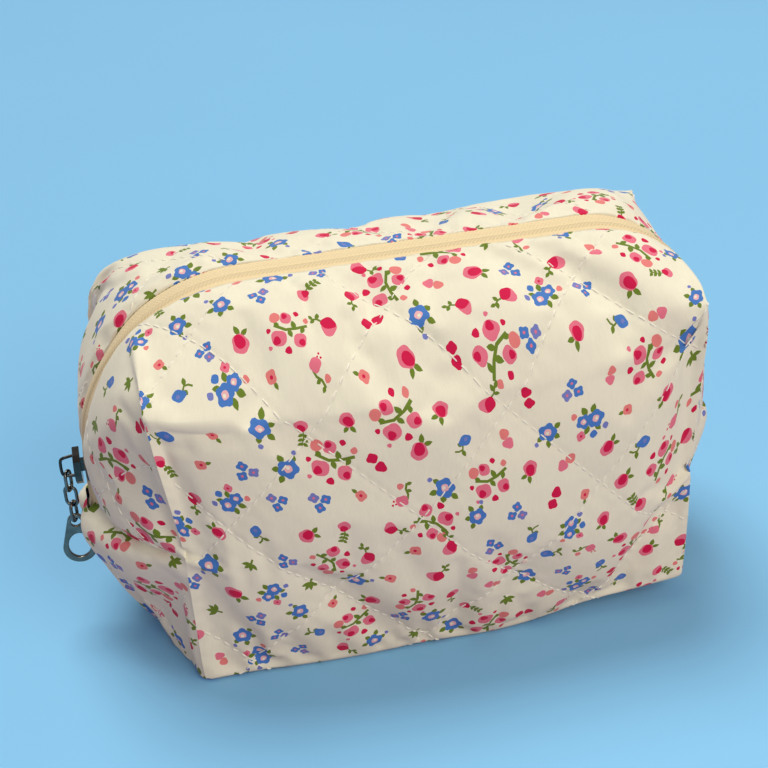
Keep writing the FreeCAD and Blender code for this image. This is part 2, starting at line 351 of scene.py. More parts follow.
def coarse_top(shape):
    """Front half of the top with the upper front quarters of both ends: zip edge to outer edge."""
    s = zip_stations()
    share = np.linspace(0, 1, UP_ROWS + 1)
    outer = np.concatenate([upper_corner_seam(shape, -1, share)[::-1][:-1],
                            shoulder(shape, np.linspace(-1, 1, MID_COLS + 1)),
                            upper_corner_seam(shape, 1, share)[1:]])
    place, _ = zip_path(s)
    inner = np.stack([place[:, 0], -CLOTH_EDGE + 0 * s, place[:, 1]], -1)
    across = np.linspace(0, 1, TOP_ROWS + 1)
    grid = inner[:, None] + (outer - inner)[:, None] * across[None, :, None]
    y = CLOTH_EDGE + (CORNER_Y_SEAM - CLOTH_EDGE) * across
    places = [-FLAP_START, -FLAP_START / 2, FLAP_START / 2, FLAP_START]
    fullnesses = [shape["left_fullness"], MIDDLE_FULLNESS, MIDDLE_FULLNESS, shape["right_fullness"]]
    powers = np.interp(s, places, fullnesses)
    ratio = np.array([fullness(y, power) for power in powers])[:, :, None]
    grid[:, :, 0::2] = outer[:, None, 0::2] + (inner - outer)[:, None, 0::2] * ratio
    for end, side in ((0, -1), (-1, 1)):
        grid[end] = end_seam(side, grid[end, :, 1])
        for step, row_share in enumerate(RECESS_ROWS, 1):
            recess = grid[end, :, 0] - grid[end - side * 3, :, 0]
            grid[end - side * step, :, 0] += np.clip(side * recess, -SEAM_RECESS, 0) * side * row_share
    return grid


def coarse_wall(shape):
    """Front wall from the shoulder down to the foot, between the two corner seams."""
    up = np.linspace(0, 1, UP_ROWS + 1)
    low = np.linspace(0, 1, LOW_ROWS + 1)[1:]
    left = np.concatenate([upper_corner_seam(shape, -1, up), lower_corner_seam(shape, -1, low)])
    right = np.concatenate([upper_corner_seam(shape, 1, up), lower_corner_seam(shape, 1, low)])
    across = np.linspace(-1, 1, MID_COLS + 1)
    top, bottom = shoulder(shape, across), foot(shape, across)
    q = ((across + 1) / 2)[:, None, None]
    t = np.linspace(0, 1, len(left))[None, :, None]
    sides = left[None] * (1 - q) + right[None] * q
    ends = top[:, None] * (1 - t) + bottom[:, None] * t
    corners = (top[0] * (1 - t) + bottom[0] * t) * (1 - q) + (top[-1] * (1 - t) + bottom[-1] * t) * q
    grid = sides + ends - corners
    grid[:, :, 1] -= WALL_BULGE * np.sin(math.pi * q[:, :, 0]) * np.sin(math.pi * t[:, :, 0])
    return grid


def coarse_base():
    """Bottom with the lower halves of both ends, from the front to the back."""
    front_y = coarse_top(FRONT)[0, ::-1, 1]
    y = np.concatenate([front_y, [0.0], -front_y[::-1]])
    raised = sum(shape["lift"] * np.clip(way * y / y[0], 0, 1) ** 2
                 for shape, way in ((FRONT, 1), (BACK, -1)))
    outer = smooth(-np.abs(y), -CORNER_Y_SEAM, -LIP_OUTER)
    flaps = []
    feet = []
    for side in (-1, 1):
        edge = end_seam(side, y)
        lip_size, foot_bulge = (LEFT_LIP, LEFT_FOOT_BULGE) if side < 0 else (RIGHT_LIP, RIGHT_FOOT_BULGE)
        lift = raised * smooth(side * foot_x(side), *LIFT_RANGE)
        rows = []
        for share in np.linspace(1, 0, LOW_ROWS + 1):
            corner = lower_corner_seam(BACK, side, share)
            rise = 1 - share
            bulge = foot_bulge + (1 - foot_bulge) * math.sin(math.pi / 2 * rise ** FLAP_CURVE)
            lip = lip_size * math.sin(math.pi * rise ** LIP_RISE) * outer
            dimple = DIMPLE * bell(y, DIMPLE_WIDTH) * math.sin(math.pi * rise ** DIMPLE_RISE)
            out = (edge[:, 0] - side * seam_x(side)) * bulge + side * (lip - dimple)
            rows.append(np.stack([corner[0] + out, y * corner[1] / y[0], corner[2] + lift * share], -1))
        flaps.append(np.array(rows))
        feet.append(rows[0][:, 0] - side * foot_x(side))
    share = np.linspace(-1, 1, MID_COLS + 1)
    front = foot(BACK, share)
    left_share = (np.clip(-share, 0, 1) ** 4)[:, None]
    right_share = (np.clip(share, 0, 1) ** 4)[:, None]
    lift = raised * smooth(front[:, 0], *LIFT_RANGE)[:, None]
    middle = np.stack([front[:, None, 0] + left_share * feet[0] + right_share * feet[1],
                       front[:, None, 1] * y / y[0], FOOT_Z + lift], -1)
    return np.concatenate([flaps[0][::-1][:-1], middle, flaps[1][1:]])


def mirrored(grid):
    return grid * np.array([1, -1, 1])


def merge(grids):
    """One list of points for grids that share edges, and the number of each grid point in it."""
    points = np.concatenate([grid.reshape(-1, 3) for grid in grids])
    keys = np.round(points * MERGE_STEPS).astype(np.int64)
    _, first, inverse = np.unique(keys, axis=0, return_index=True, return_inverse=True)
    inverse = inverse.reshape(-1)
    numbers = []
    start = 0
    for grid in grids:
        count = grid.shape[0] * grid.shape[1]
        numbers.append(inverse[start:start + count].reshape(grid.shape[:2]))
        start += count
    return points[first], numbers


def grid_faces(numbers, flip=False):
    quads = np.stack([numbers[:-1, :-1], numbers[1:, :-1], numbers[1:, 1:], numbers[:-1, 1:]], -1)
    quads = quads.reshape(-1, 4)
    return quads[:, ::-1] if flip else quads


def rounded(points, quads, corners):
    """Rounds the cloth off near the given points by evening each point out with its neighbours."""
    distance = np.linalg.norm(points[:, None] - points[corners], axis=2).min(1)
    near = CORNER_PULL * bell(distance, CORNER_ROUND)[:, None]
    starts = quads.ravel()
    ends = np.roll(quads, -1, 1).ravel()
    for _ in range(CORNER_PASSES):
        total = np.zeros_like(points)
        count = np.zeros((len(points), 1))
        np.add.at(total, starts, points[ends])
        np.add.at(total, ends, points[starts])
        np.add.at(count, starts, 1)
        np.add.at(count, ends, 1)
        points = points + (total / count - points) * near
    return points


def swell(points, top, wall, base, back_wall, back_top):
    """Lets the coarse cloth swell from inside, held along the zip and on the flat bottom."""
    quads = np.concatenate([grid_faces(top, True), grid_faces(wall, True), grid_faces(base, True),
                            grid_faces(back_wall), grid_faces(back_top)])
    mesh = bpy.data.meshes.new("swelling")
    mesh.from_pydata((points * MM).tolist(), [], quads.tolist())
    bag = add_object("swelling", mesh)
    scene = bpy.context.scene
    held = bag.vertex_groups.new(name="held")
    seams = np.concatenate([wall[0], wall[-1], back_wall[0], back_wall[-1], base[0], base[-1]])
    held.add(np.unique(seams).tolist(), SEAM_HOLD, "REPLACE")
    zip_ends = base[[0, -1], TOP_ROWS:TOP_ROWS + 3]
    flat = base[LOW_ROWS:-LOW_ROWS, :]
    firm = np.concatenate([top[:, 0], back_top[:, 0], zip_ends.ravel(), flat.ravel()])
    held.add(np.unique(firm).tolist(), 1.0, "REPLACE")
    cloth = bag.modifiers.new("cloth", "CLOTH")
    for setting, value in CLOTH.items():
        setattr(cloth.settings, setting, value)
    cloth.settings.effector_weights.gravity = 0.0
    cloth.point_cache.frame_end = FRAMES
    for number in range(1, FRAMES + 1):
        scene.frame_set(number)
    settled = bag.evaluated_get(bpy.context.evaluated_depsgraph_get()).data
    swollen = np.zeros(len(points) * 3)
    settled.vertices.foreach_get("co", swollen)
    bpy.data.objects.remove(bag)
    scene.frame_set(1)
    swollen = swollen.reshape(-1, 3) / MM
    swollen[:, 2] = np.maximum(swollen[:, 2], FOOT_Z)
    right_end = smooth(points[:, 0], *RIGHT_FADE)[:, None]
    swollen += (points - swollen) * right_end * (1 - RIGHT_SWELL)
    corners = [wall[0, 0], wall[-1, 0], back_wall[0, 0], back_wall[-1, 0]]
    return rounded(swollen, quads, corners)


def with_ghosts(grid, before=None, after=None):
    """Adds a row past each side, going straight on except where a neighbour's row is given."""
    grid = np.concatenate([2 * grid[:1] - grid[1:2], grid, 2 * grid[-1:] - grid[-2:-1]])
    first = 2 * grid[:, :1] - grid[:, 1:2]
    last = 2 * grid[:, -1:] - grid[:, -2:-1]
    for ghost, given in ((first, before), (last, after)):
        if given is not None:
            margin = (len(ghost) - len(given)) // 2
            ghost[margin:margin + len(given), 0] = given
    return np.concatenate([first, grid, last], 1)


def cubic(t):
    """Weights of four neighbours in a row, and how they change, for a smooth line through points."""
    weights = 0.5 * np.stack([-t + 2 * t ** 2 - t ** 3, 2 - 5 * t ** 2 + 3 * t ** 3,
                              t + 4 * t ** 2 - 3 * t ** 3, t ** 3 - t ** 2])
    slopes = 0.5 * np.stack([-1 + 4 * t - 3 * t ** 2, -10 * t + 9 * t ** 2,
                             1 + 8 * t - 9 * t ** 2, -2 * t + 3 * t ** 2])
    return weights, slopes


def sample(grid, a, b):
    """Smooth place on a grid with ghost rows, and its two directions, a and b cells from its corner."""
    i = np.clip(np.floor(a).astype(int), 0, grid.shape[0] - 4)
    j = np.clip(np.floor(b).astype(int), 0, grid.shape[1] - 4)
    weight_a, slope_a = cubic(a - i)
    weight_b, slope_b = cubic(b - j)
    place = along = across = 0
    for m in range(4):
        for n in range(4):
            corner = grid[i + m, j + n]
            place = place + corner * (weight_a[m] * weight_b[n])[:, None]
            along = along + corner * (slope_a[m] * weight_b[n])[:, None]
            across = across + corner * (weight_a[m] * slope_b[n])[:, None]
    return place, along, across


def unit(vectors):
    return vectors / np.maximum(np.linalg.norm(vectors, axis=-1, keepdims=True), 1e-9)


def sewn(u, v):
    """Flat coordinates on the panel that leads at a seam, for points on the panel sewn to it."""
    side = np.sign(u)
    beyond = np.abs(u) > FLAP_START
    upper = beyond & (np.abs(v - TOP_FLAT) < 1e-3)
    lower = beyond & (np.abs(v - FOOT_FLAT) < 1e-3)
    ends = (np.abs(np.abs(u) - TOP_REACH) < 1e-3) & (v >= 0) & (v < TOP_FLAT)
    up_share = (np.abs(u) - FLAP_START) / (TOP_REACH - FLAP_START)
    low_share = (np.abs(u) - FLAP_START) / (LOW_REACH - FLAP_START)
    zip_row = FOOT_FLAT + (MIDDLE_FLAT - FOOT_FLAT) * TOP_ROWS / BASE_ROWS
    end_v = zip_row + (FOOT_FLAT - zip_row) * v / TOP_FLAT
    new_v = np.where(upper, TOP_FLAT + (SEAM_FLAT - TOP_FLAT) * up_share, v)
    new_v = np.where(lower, FOOT_FLAT + (SEAM_FLAT - FOOT_FLAT) * low_share, new_v)
    new_u = np.where(upper | lower, side * FLAP_START, u)
    return np.where(ends, side * LOW_REACH, new_u), np.where(ends, end_v, new_v)


class Half:
    """The smooth surface of one half of the bag, found from flat cloth coordinates."""

    def __init__(self, points, top, wall, base, side):
        self.side = side
        top_grid, wall_grid, base_grid = points[top], points[wall], points[base]
        middle = slice(UP_ROWS, UP_ROWS + MID_COLS + 1)
        low_middle = slice(LOW_ROWS, LOW_ROWS + MID_COLS + 1)
        self.top = with_ghosts(top_grid, after=wall_grid[:, 1])
        self.wall = with_ghosts(wall_grid, before=top_grid[middle, -2], after=base_grid[low_middle, 1])
        self.base = with_ghosts(base_grid, before=wall_grid[:, -2])

    def cells(self, u, reach, flap):
        """Cells along the bag for flat u, where flap cells lie beyond each corner seam."""
        inner = flap + (u / FLAP_START + 1) / 2 * MID_COLS
        beyond = (np.abs(u) - FLAP_START) / (reach - FLAP_START) * flap
        outer = np.where(u > 0, flap + MID_COLS + beyond, flap - beyond)
        return np.where(np.abs(u) <= FLAP_START, inner, outer)

    def bare(self, u, v):
        """Place, outward normal and direction away from the zip, before quilting and folds."""
        u, v = np.asarray(u, float), np.asarray(v, float)
        place = np.zeros((len(u), 3))
        along, across = place.copy(), place.copy()
        on_top = v <= TOP_FLAT
        on_base = v >= FOOT_FLAT
        on_wall = ~on_top & ~on_base
        top_b = np.maximum(v, 0) / TOP_FLAT * TOP_ROWS
        upper = (v - TOP_FLAT) / (SEAM_FLAT - TOP_FLAT) * UP_ROWS
        lower = UP_ROWS + (v - SEAM_FLAT) / (FOOT_FLAT - SEAM_FLAT) * LOW_ROWS
        wall_b = np.where(v < SEAM_FLAT, upper, lower)
        base_b = (v - FOOT_FLAT) / (MIDDLE_FLAT - FOOT_FLAT) * BASE_ROWS
        for mask, grid, a, b in (
                (on_top, self.top, self.cells(u, TOP_REACH, UP_ROWS), top_b),
                (on_wall, self.wall, self.cells(u, TOP_REACH, 0), wall_b),
                (on_base, self.base, self.cells(u, LOW_REACH, LOW_ROWS), base_b)):
            place[mask], along[mask], across[mask] = sample(grid, a[mask], b[mask])
        normal = unit(np.cross(along, across)) * self.side
        return place, normal, unit(across)

    def surface(self, u, v, depth=0.0):
        """Place and outward normal with the quilting and the folded edge, depth below the outside."""
        u, v = sewn(np.asarray(u, float), np.asarray(v, float))
        place, normal, away = self.bare(u, v)
        place = place + normal * (relief(u, v) - depth)[:, None]
        turn = np.clip(-v / ROLL_RADIUS, 0, None)[:, None]
        place = place - (away * np.sin(turn) + normal * (1 - np.cos(turn))) * (ROLL_RADIUS - depth)
        place[:, 2] = np.maximum(place[:, 2], LOWEST + depth)
        return place, normal


def seam_lines():
    """The sewn edges of the flat cloth, as pairs of end points."""
    lines = [((-TOP_REACH, 0), (TOP_REACH, 0))]
    for side in (-1, 1):
        start, top, low = side * FLAP_START, side * TOP_REACH, side * LOW_REACH
        lines += [((top, 0), (top, TOP_FLAT)), ((start, TOP_FLAT), (top, TOP_FLAT)),
                  ((start, TOP_FLAT), (start, FOOT_FLAT)), ((start, FOOT_FLAT), (low, FOOT_FLAT)),
                  ((low, FOOT_FLAT), (low, MIDDLE_FLAT))]
    return lines


def seam_distance(u, v, lines):
    nearest = np.full(len(u), 1e3)
    for (u0, v0), (u1, v1) in lines:
        du, dv = u1 - u0, v1 - v0
        t = np.clip(((u - u0) * du + (v - v0) * dv) / (du * du + dv * dv), 0, 1)
        nearest = np.minimum(nearest, np.hypot(u - u0 - t * du, v - v0 - t * dv))
    return nearest


def line_distance(value, start):
    """Distance to the nearest of a family of slanting quilting lines."""
    offset = (value - start + QUILT_PERIOD / 2) % QUILT_PERIOD - QUILT_PERIOD / 2
    return np.abs(offset) * SLANT


def ripple(t, pitch, seed):
    """An uneven wave along a line, between about -1 and 1."""
    drift = 1.9 * np.sin(t / (pitch * 2.7) + seed) + 1.1 * np.sin(t / (pitch * 1.3) + 2.3 * seed)
    return np.sin(2 * math.pi * t / pitch + drift)


def creases(u, v):
    """Long shallow creases that come and go over the cloth."""
    upright = 0.26 * ripple(u * 0.8 - v * 0.35, 31.0, 1.7) * smooth(np.sin(u / 27 - v / 21), 0, 1)
    level = 0.32 * ripple(v * 0.9 + u * 0.22, 23.0, 0.4) * smooth(np.sin(u / 19 + v / 37), -0.2, 1)
    return level + upright


def tuck(u, v):
    """How far the cloth is pulled in beside the zip and along its sewn seams."""
    from_zip = np.maximum(v, 0)
    edge = EDGE_SINK * bell(from_zip, 4.0)
    end = end_dip(u) * bell(from_zip, 8.0)
    arch = end_camber(u, CLOTH_EDGE) * bell(from_zip, 16.0)
    return (edge + end + arch) * (v < TOP_FLAT) + SEAM_TUCK * bell(seam_distance(u, v, SEAMS[1:]), 1.3)


def relief(u, v):
    """Height of the quilted cloth over the bare surface."""
    height = -PUFF
    deepest = 0
    for distance, along, seed in ((line_distance(u - v, QUILT_FALLING), (u + v) * SLANT, 0.7),
                                  (line_distance(u + v, QUILT_RISING), (u - v) * SLANT, 2.9)):
        puff = 1 - np.exp(1 - np.hypot(distance, PUFF_WIDTH) / PUFF_WIDTH)
        near = np.exp(-distance / PUCKER_REACH) * (1 - bell(distance, 2 * GROOVE_WIDTH))
        puckers = sum(size * ripple(along, pitch, seed + shift) for size, pitch, shift in PUCKERS)
        pull = 0.5 + 0.5 * np.cos(2 * math.pi * along / STITCH_PITCH)
        deepest = np.maximum(deepest, bell(distance, GROOVE_WIDTH) * (GROOVE + GROOVE_PULL * pull))
        height = height + PUFF * puff + near * puckers
    height = height - deepest
    height = np.where(height > 0, height * PUFF_SHARE, height)
    seams = seam_distance(u, v, SEAMS)
    fade = smooth(seams, 0, SEAM_FADE)
    gathers = ripple(u + 1.15 * v, PINCH_PITCH, 0.2)
    pinch = PINCH * np.exp(-seams / 4.0) * smooth(seams, 0, 1.5) * gathers
    fold = 1 - FOOT_CALM * bell(v - FOOT_FLAT, 7.0)
    slack_end = 1 - RIGHT_CALM * smooth(u, *CALM_RANGE)
    return ((height + creases(u, v)) * fade * slack_end + pinch) * fold - tuck(u, v)


SEAMS = seam_lines()


# ---------------------------------------------------------------- colours and printed motifs

def linear(red, green, blue):
    """A colour given as 0-255 screen values, as the linear values that shaders take."""
    return tuple(((c / 255 + 0.055) / 1.055) ** 2.4 for c in (red, green, blue))


IVORY = linear(248, 243, 222)
PINK = linear(240, 122, 146)
SALMON = linear(241, 134, 132)
MAGENTA = linear(220, 10, 78)
PALE_PINK = linear(247, 190, 196)
BLUE = linear(74, 128, 208)
LILAC = linear(124, 134, 205)
GREEN = linear(112, 136, 40)
PRINT = [IVORY, PINK, SALMON, MAGENTA, PALE_PINK, BLUE, LILAC, GREEN]
LINING_COLOUR = linear(243, 236, 214)
BINDING_COLOUR = linear(246, 240, 222)
THREAD_COLOUR = linear(255, 251, 238)
TAPE_COLOUR = linear(255, 232, 186)
COIL_COLOUR = linear(240, 220, 165)
WADDING_COLOUR = linear(246, 246, 243)
SLIDER_COLOUR = (0.055, 0.05, 0.045)
CHAIN_COLOUR = (0.13, 0.13, 0.125)
RING_COLOUR = (0.14, 0.135, 0.12)
FLOOR_COLOUR = linear(139, 201, 246)
CARD_COLOUR = (0.34, 0.32, 0.44)    # the paper under the bag throws back less colour than it shows

# A leaf along and across its middle line, in shares of its length and half width
LEAF_WIDTH = 1.2
LEAF_OUTLINE = [(0, 0), (0.2, 0.7), (0.45, 1), (0.72, 0.75), (1, 0), (0.72, -0.75), (0.45, -1),
                (0.2, -0.7)]


def placed(outline, x, y, turn, size=1.0):
    """An outline turned, scaled and moved to (x, y)."""
    cos, sin = math.cos(turn), math.sin(turn)
    return [(x + size * (px * cos - py * sin), y + size * (px * sin + py * cos)) for px, py in outline]


def blob(x, y, radius, colour, lobes=5, depth=0.12, tilt=0.0, stretch=1.0):
    """A hand-drawn round shape with lobes round its rim, a little uneven."""
    outline = []
    steps = 5 * lobes if radius > 1.1 else 3 * lobes
    start = 2.4 * x + 1.7 * y
    for step in range(steps):
        angle = 2 * math.pi * step / steps
        petal = abs(math.cos(lobes * angle / 2)) ** 0.5
        uneven = 0.05 * math.sin(2 * angle + start) + 0.04 * math.sin(3 * angle - 1.3 * start)
        reach = radius * (1 + depth * (2 * petal - 1.2) + uneven)
        outline.append((reach * math.cos(angle) * stretch, reach * math.sin(angle)))
    return placed(outline, x, y, tilt), colour


def leaf(x, y, angle, length, width):
    """A pointed leaf that starts at (x, y)."""
    half_width = width * LEAF_WIDTH / 2
    outline = [(along * length, across * half_width) for along, across in LEAF_OUTLINE]
    return placed(outline, x, y, angle), GREEN


def stem(points, width=0.7):
    """A thin stalk through a few points."""
    left, right = [], []
    for number, (x, y) in enumerate(points):
        x0, y0 = points[max(number - 1, 0)]
        x1, y1 = points[min(number + 1, len(points) - 1)]
        size = math.hypot(x1 - x0, y1 - y0)
        nx, ny = -(y1 - y0) / size * width / 2, (x1 - x0) / size * width / 2
        left.append((x + nx, y + ny))
        right.append((x - nx, y - ny))
    return left + right[::-1], GREEN


def small_rose(x, y, radius, tilt):
    heart = radius * 0.42
    heart_x, heart_y = x + heart * math.cos(tilt), y + heart * math.sin(tilt)
    return [blob(x, y, radius, PINK, 4, 0.10, tilt),
            blob(heart_x, heart_y, heart * 1.15, MAGENTA, 3, 0.2, tilt)]


def blue_bloom(x, y, radius, tilt):
    return [blob(x, y, radius, BLUE, 5, 0.25, tilt),
            blob(x, y, radius * 0.42, PALE_PINK, 4, 0.2, tilt),
            blob(x + radius * 0.12, y, radius * 0.2, IVORY, 3, 0.1, tilt)]


def small_bloom(x, y, tilt, colour):
    return [blob(x, y, 1.3, colour, 4, 0.32, tilt), blob(x, y, 0.38, PINK, 3, 0.1, tilt)]


ROSE_BOUQUET = [
    stem([(-2.6, -5.2), (-0.8, -2.0), (0.2, 1.2), (-0.6, 5.0)], 0.9),
    leaf(-0.4, -1.6, 2.7, 3.0, 1.4), leaf(0.0, 0.4, -0.6, 2.6, 1.3),
    leaf(-1.8, -4.2, 0.3, 2.4, 1.2), leaf(-0.2, 3.4, 2.3, 2.4, 1.2),
    *small_rose(2.9, 2.9, 2.3, 0.6), *small_rose(2.5, -3.6, 2.0, -0.9), *small_rose(-3.5, 1.7, 1.8, 2.4),
    blob(-3.1, 5.1, 1.6, SALMON, 3, 0.15, 0.4), blob(5.8, -0.4, 1.0, MAGENTA, 3, 0.25, 1.1),
    blob(-5.6, -1.3, 0.8, MAGENTA, 4, 0.2), blob(1.2, 6.4, 0.7, MAGENTA, 3, 0.2),
    blob(5.9, 5.2, 0.6, PINK, 3, 0.2), blob(-4.2, -4.6, 0.9, SALMON, 4, 0.2)]
BLUE_BOUQUET = [
    leaf(-0.6, -1.5, -2.0, 3.0, 1.7), leaf(1.0, -1.6, -1.1, 2.9, 1.6),
    leaf(-0.5, 1.6, 2.2, 2.8, 1.5), leaf(1.4, 1.8, 0.9, 2.6, 1.4),
    *blue_bloom(-2.0, 0.0, 1.9, 0.3), *blue_bloom(1.9, 0.2, 2.3, 1.2),
    blob(-3.4, 3.9, 1.3, PINK, 4, 0.2, 0.5), blob(0.6, 4.5, 1.1, BLUE, 4, 0.2, 0.2),
    blob(4.6, 3.2, 0.9, LILAC, 4, 0.2), blob(-4.6, -2.3, 0.9, SALMON, 3, 0.2),
    blob(-3.3, 3.9, 0.4, MAGENTA, 3, 0.1)]
ROSE_WITH_LEAVES = [
    leaf(0.6, 2.0, 0.9, 3.0, 1.3), leaf(0.2, 2.1, 2.2, 2.7, 1.2),
    blob(0, 0, 2.4, PINK, 5, 0.08, 0.3), blob(0.3, 0.5, 1.5, MAGENTA, 3, 0.16, 0.9, 1.15)]
HALF_ROSE = [                # seen from the side, dark below and light above, with a small sprig
    stem([(1.6, 1.0), (3.0, 2.0), (4.4, 2.2)], 0.5), leaf(3.0, 1.9, 1.6, 1.8, 1.0),
    leaf(3.6, 2.1, -0.6, 1.8, 1.0), leaf(4.2, 2.2, 0.6, 1.8, 0.9),
    blob(0, -0.4, 2.0, PINK, 3, 0.12, 0.5), blob(0.2, 0.8, 1.55, MAGENTA, 4, 0.10, 0.2, 1.2)]
BLUE_FLOWER = [
    leaf(-1.8, -1.6, -2.6, 2.6, 1.5), leaf(0.2, -2.2, -1.5, 2.3, 1.6),
    leaf(2.0, -1.0, -0.4, 2.8, 1.6), leaf(1.8, 1.4, 0.5, 2.2, 1.4),
    blob(4.6, 2.4, 0.7, LILAC, 4, 0.15), *blue_bloom(0, 0, 2.6, 0.5)]
BLUE_TRIO = [
    *small_bloom(-1.7, -0.8, 0.2, BLUE), *small_bloom(1.3, -1.6, 1.0, BLUE),
    *small_bloom(0.6, 1.7, 2.1, LILAC)]
MAGENTA_PAIR = [blob(-1.5, 0.9, 1.5, MAGENTA, 3, 0.22, 0.3), blob(1.3, -1.1, 1.45, MAGENTA, 4, 0.20, 1.2)]
PINK_PAIR = [blob(-1.5, -0.4, 1.4, SALMON, 3, 0.22, 0.9), blob(1.2, 0.6, 1.5, PINK, 3, 0.20, 0.1)]
BUD_WITH_FERN = [
    stem([(1.2, 0), (3.0, 0.3), (5.4, 1.4)], 0.5),
    leaf(2.0, 0.1, -0.7, 1.9, 0.95), leaf(2.0, 0.1, 1.4, 1.8, 0.9),
    leaf(3.3, 0.5, -0.7, 1.9, 0.95), leaf(3.3, 0.5, 1.4, 1.8, 0.9),
    leaf(4.6, 0.9, -0.7, 1.9, 0.95), leaf(4.6, 0.9, 1.4, 1.8, 0.9),
    blob(-0.8, 0, 1.9, PINK, 4, 0.10, 0.2), blob(0.1, 0.3, 1.25, MAGENTA, 3, 0.2, 0.6, 0.9)]
BLUE_BUD = [
    stem([(-1.2, 0.2), (-2.4, 1.0), (-3.6, 0.4), (-4.4, -0.8)], 0.6),
    leaf(-2.6, 0.9, 2.0, 2.4, 1.2), leaf(-1.6, 0.2, -1.7, 1.9, 1.2),
    blob(0.4, 0, 1.7, BLUE, 4, 0.14, 0.4, 1.2), blob(0.8, 0, 0.6, LILAC, 3, 0.2)]
HANGING_BLOSSOMS = [
    stem([(-3.4, -1.6), (-1.6, -0.9), (0.2, -1.2), (1.8, -0.6)], 0.7),
    leaf(-3.0, -1.4, -1.7, 1.8, 1.0), leaf(-1.2, -1.0, -1.2, 1.7, 1.0),
    blob(-2.8, 0.5, 1.0, SALMON, 3, 0.15, 0.4), blob(1.9, 1.0, 1.8, PINK, 4, 0.12, 0.7),
    blob(1.4, 3.5, 0.35, MAGENTA, 3, 0.1), blob(2.4, 3.1, 0.3, MAGENTA, 3, 0.1),
    blob(2.5, 4.1, 0.35, MAGENTA, 3, 0.1)]
LEAF_SPRIG = [
    stem([(0.2, 3.0), (0.0, 0.4)], 0.7),
    leaf(0.1, 1.4, -2.6, 3.2, 1.15), leaf(0.1, 1.4, -1.9, 3.3, 1.15),
    leaf(0.1, 1.4, -1.2, 3.2, 1.15), leaf(0.1, 1.4, -0.5, 3.0, 1.15)]
SMALL_BLOSSOM = [
    leaf(0.9, 1.0, 0.8, 2.2, 1.0), blob(0, 0, 1.6, SALMON, 4, 0.16, 0.3),
    blob(0.1, 0.1, 0.5, MAGENTA, 3, 0.1)]

LARGE = (ROSE_BOUQUET, BLUE_BOUQUET, ROSE_BOUQUET)
SMALL = (ROSE_WITH_LEAVES, BLUE_FLOWER, HALF_ROSE, BLUE_TRIO, LEAF_SPRIG, SMALL_BLOSSOM, BLUE_BUD,
         BUD_WITH_FERN, MAGENTA_PAIR, HANGING_BLOSSOMS, HALF_ROSE, PINK_PAIR, SMALL_BLOSSOM,
         ROSE_WITH_LEAVES, BLUE_TRIO, BLUE_FLOWER)
LARGE_EVERY = 6             # every sixth motif of a row is a bouquet
LARGE_SLACK = 0.5           # how far a motif may be off its place
SMALL_SLACK = 1.5
MOTIF_SPACING = 12.6
ROW_SPACING = MOTIF_SPACING * 0.86


def counterclockwise(outline):
    turn = sum(x0 * y1 - x1 * y0 for (x0, y0), (x1, y1) in zip(outline, outline[1:] + outline[:1]))
    return outline if turn > 0 else outline[::-1]


def print_outlines(seed):
    """Every printed shape of one half: outline points in flat coordinates, and a colour."""
    rng = random.Random(seed)
    shapes = []
    deck = []
    bouquets = 0
    row = 0
    v = 1.0
    while v < MIDDLE_FLAT + MOTIF_SPACING:
        u = -TOP_REACH + (row % 2) * MOTIF_SPACING / 2
        column = 0
        while u < TOP_REACH + MOTIF_SPACING / 2:
            if not deck:
                deck = list(SMALL)
                rng.shuffle(deck)
            if (column + 4 * (row // 2) + 2 * (row % 2)) % LARGE_EVERY == 0:
                motif = LARGE[bouquets % len(LARGE)]
                bouquets += 1
                slack = LARGE_SLACK
            else:
                motif = deck.pop()
                slack = SMALL_SLACK
            x, y = u + rng.uniform(-slack, slack), v + rng.uniform(-slack, slack)
            turn = rng.uniform(-math.pi, math.pi)
            size = rng.uniform(0.88, 1.08)
            for outline, colour in motif:
                moved = placed(counterclockwise(outline), x, y, turn, size)
                shapes.append((moved, PRINT.index(colour)))
            u += MOTIF_SPACING
            column += 1
        v += ROW_SPACING
        row += 1
    return shapes


# ---------------------------------------------------------------- cloth pieces

def inside_cloth(u, v):
    on_top = (v >= -ROLL_FLAT) & (v <= TOP_FLAT) & (np.abs(u) <= TOP_REACH)
    on_wall = (v >= TOP_FLAT) & (v <= FOOT_FLAT) & (np.abs(u) <= FLAP_START)
    on_base = (v >= FOOT_FLAT) & (v <= MIDDLE_FLAT) & (np.abs(u) <= LOW_REACH)
    return on_top | on_wall | on_base


def boundary_runs():
    """The outline of the flat cloth as runs of equal steps, so that sewn edges meet point to point."""
    last_row = FOOT_FLAT + (MIDDLE_FLAT - FOOT_FLAT) * TOP_ROWS / BASE_ROWS
    runs = [((-TOP_REACH, -ROLL_FLAT), (TOP_REACH, -ROLL_FLAT), 4 * SEAM_STEPS),
            ((-LOW_REACH, MIDDLE_FLAT), (LOW_REACH, MIDDLE_FLAT), 4 * SEAM_STEPS)]
    for side in (-1, 1):
        start, top, low = side * FLAP_START, side * TOP_REACH, side * LOW_REACH
        runs += [((top, -ROLL_FLAT), (top, 0), 3), ((top, 0), (top, TOP_FLAT), SEAM_STEPS),
                 ((start, TOP_FLAT), (top, TOP_FLAT), SEAM_STEPS),
                 ((start, TOP_FLAT), (start, SEAM_FLAT), SEAM_STEPS),
                 ((start, SEAM_FLAT), (start, FOOT_FLAT), SEAM_STEPS),
                 ((start, FOOT_FLAT), (low, FOOT_FLAT), SEAM_STEPS),
                 ((low, FOOT_FLAT), (low, last_row), SEAM_STEPS),
                 ((low, last_row), (low, MIDDLE_FLAT), 3)]
    return runs


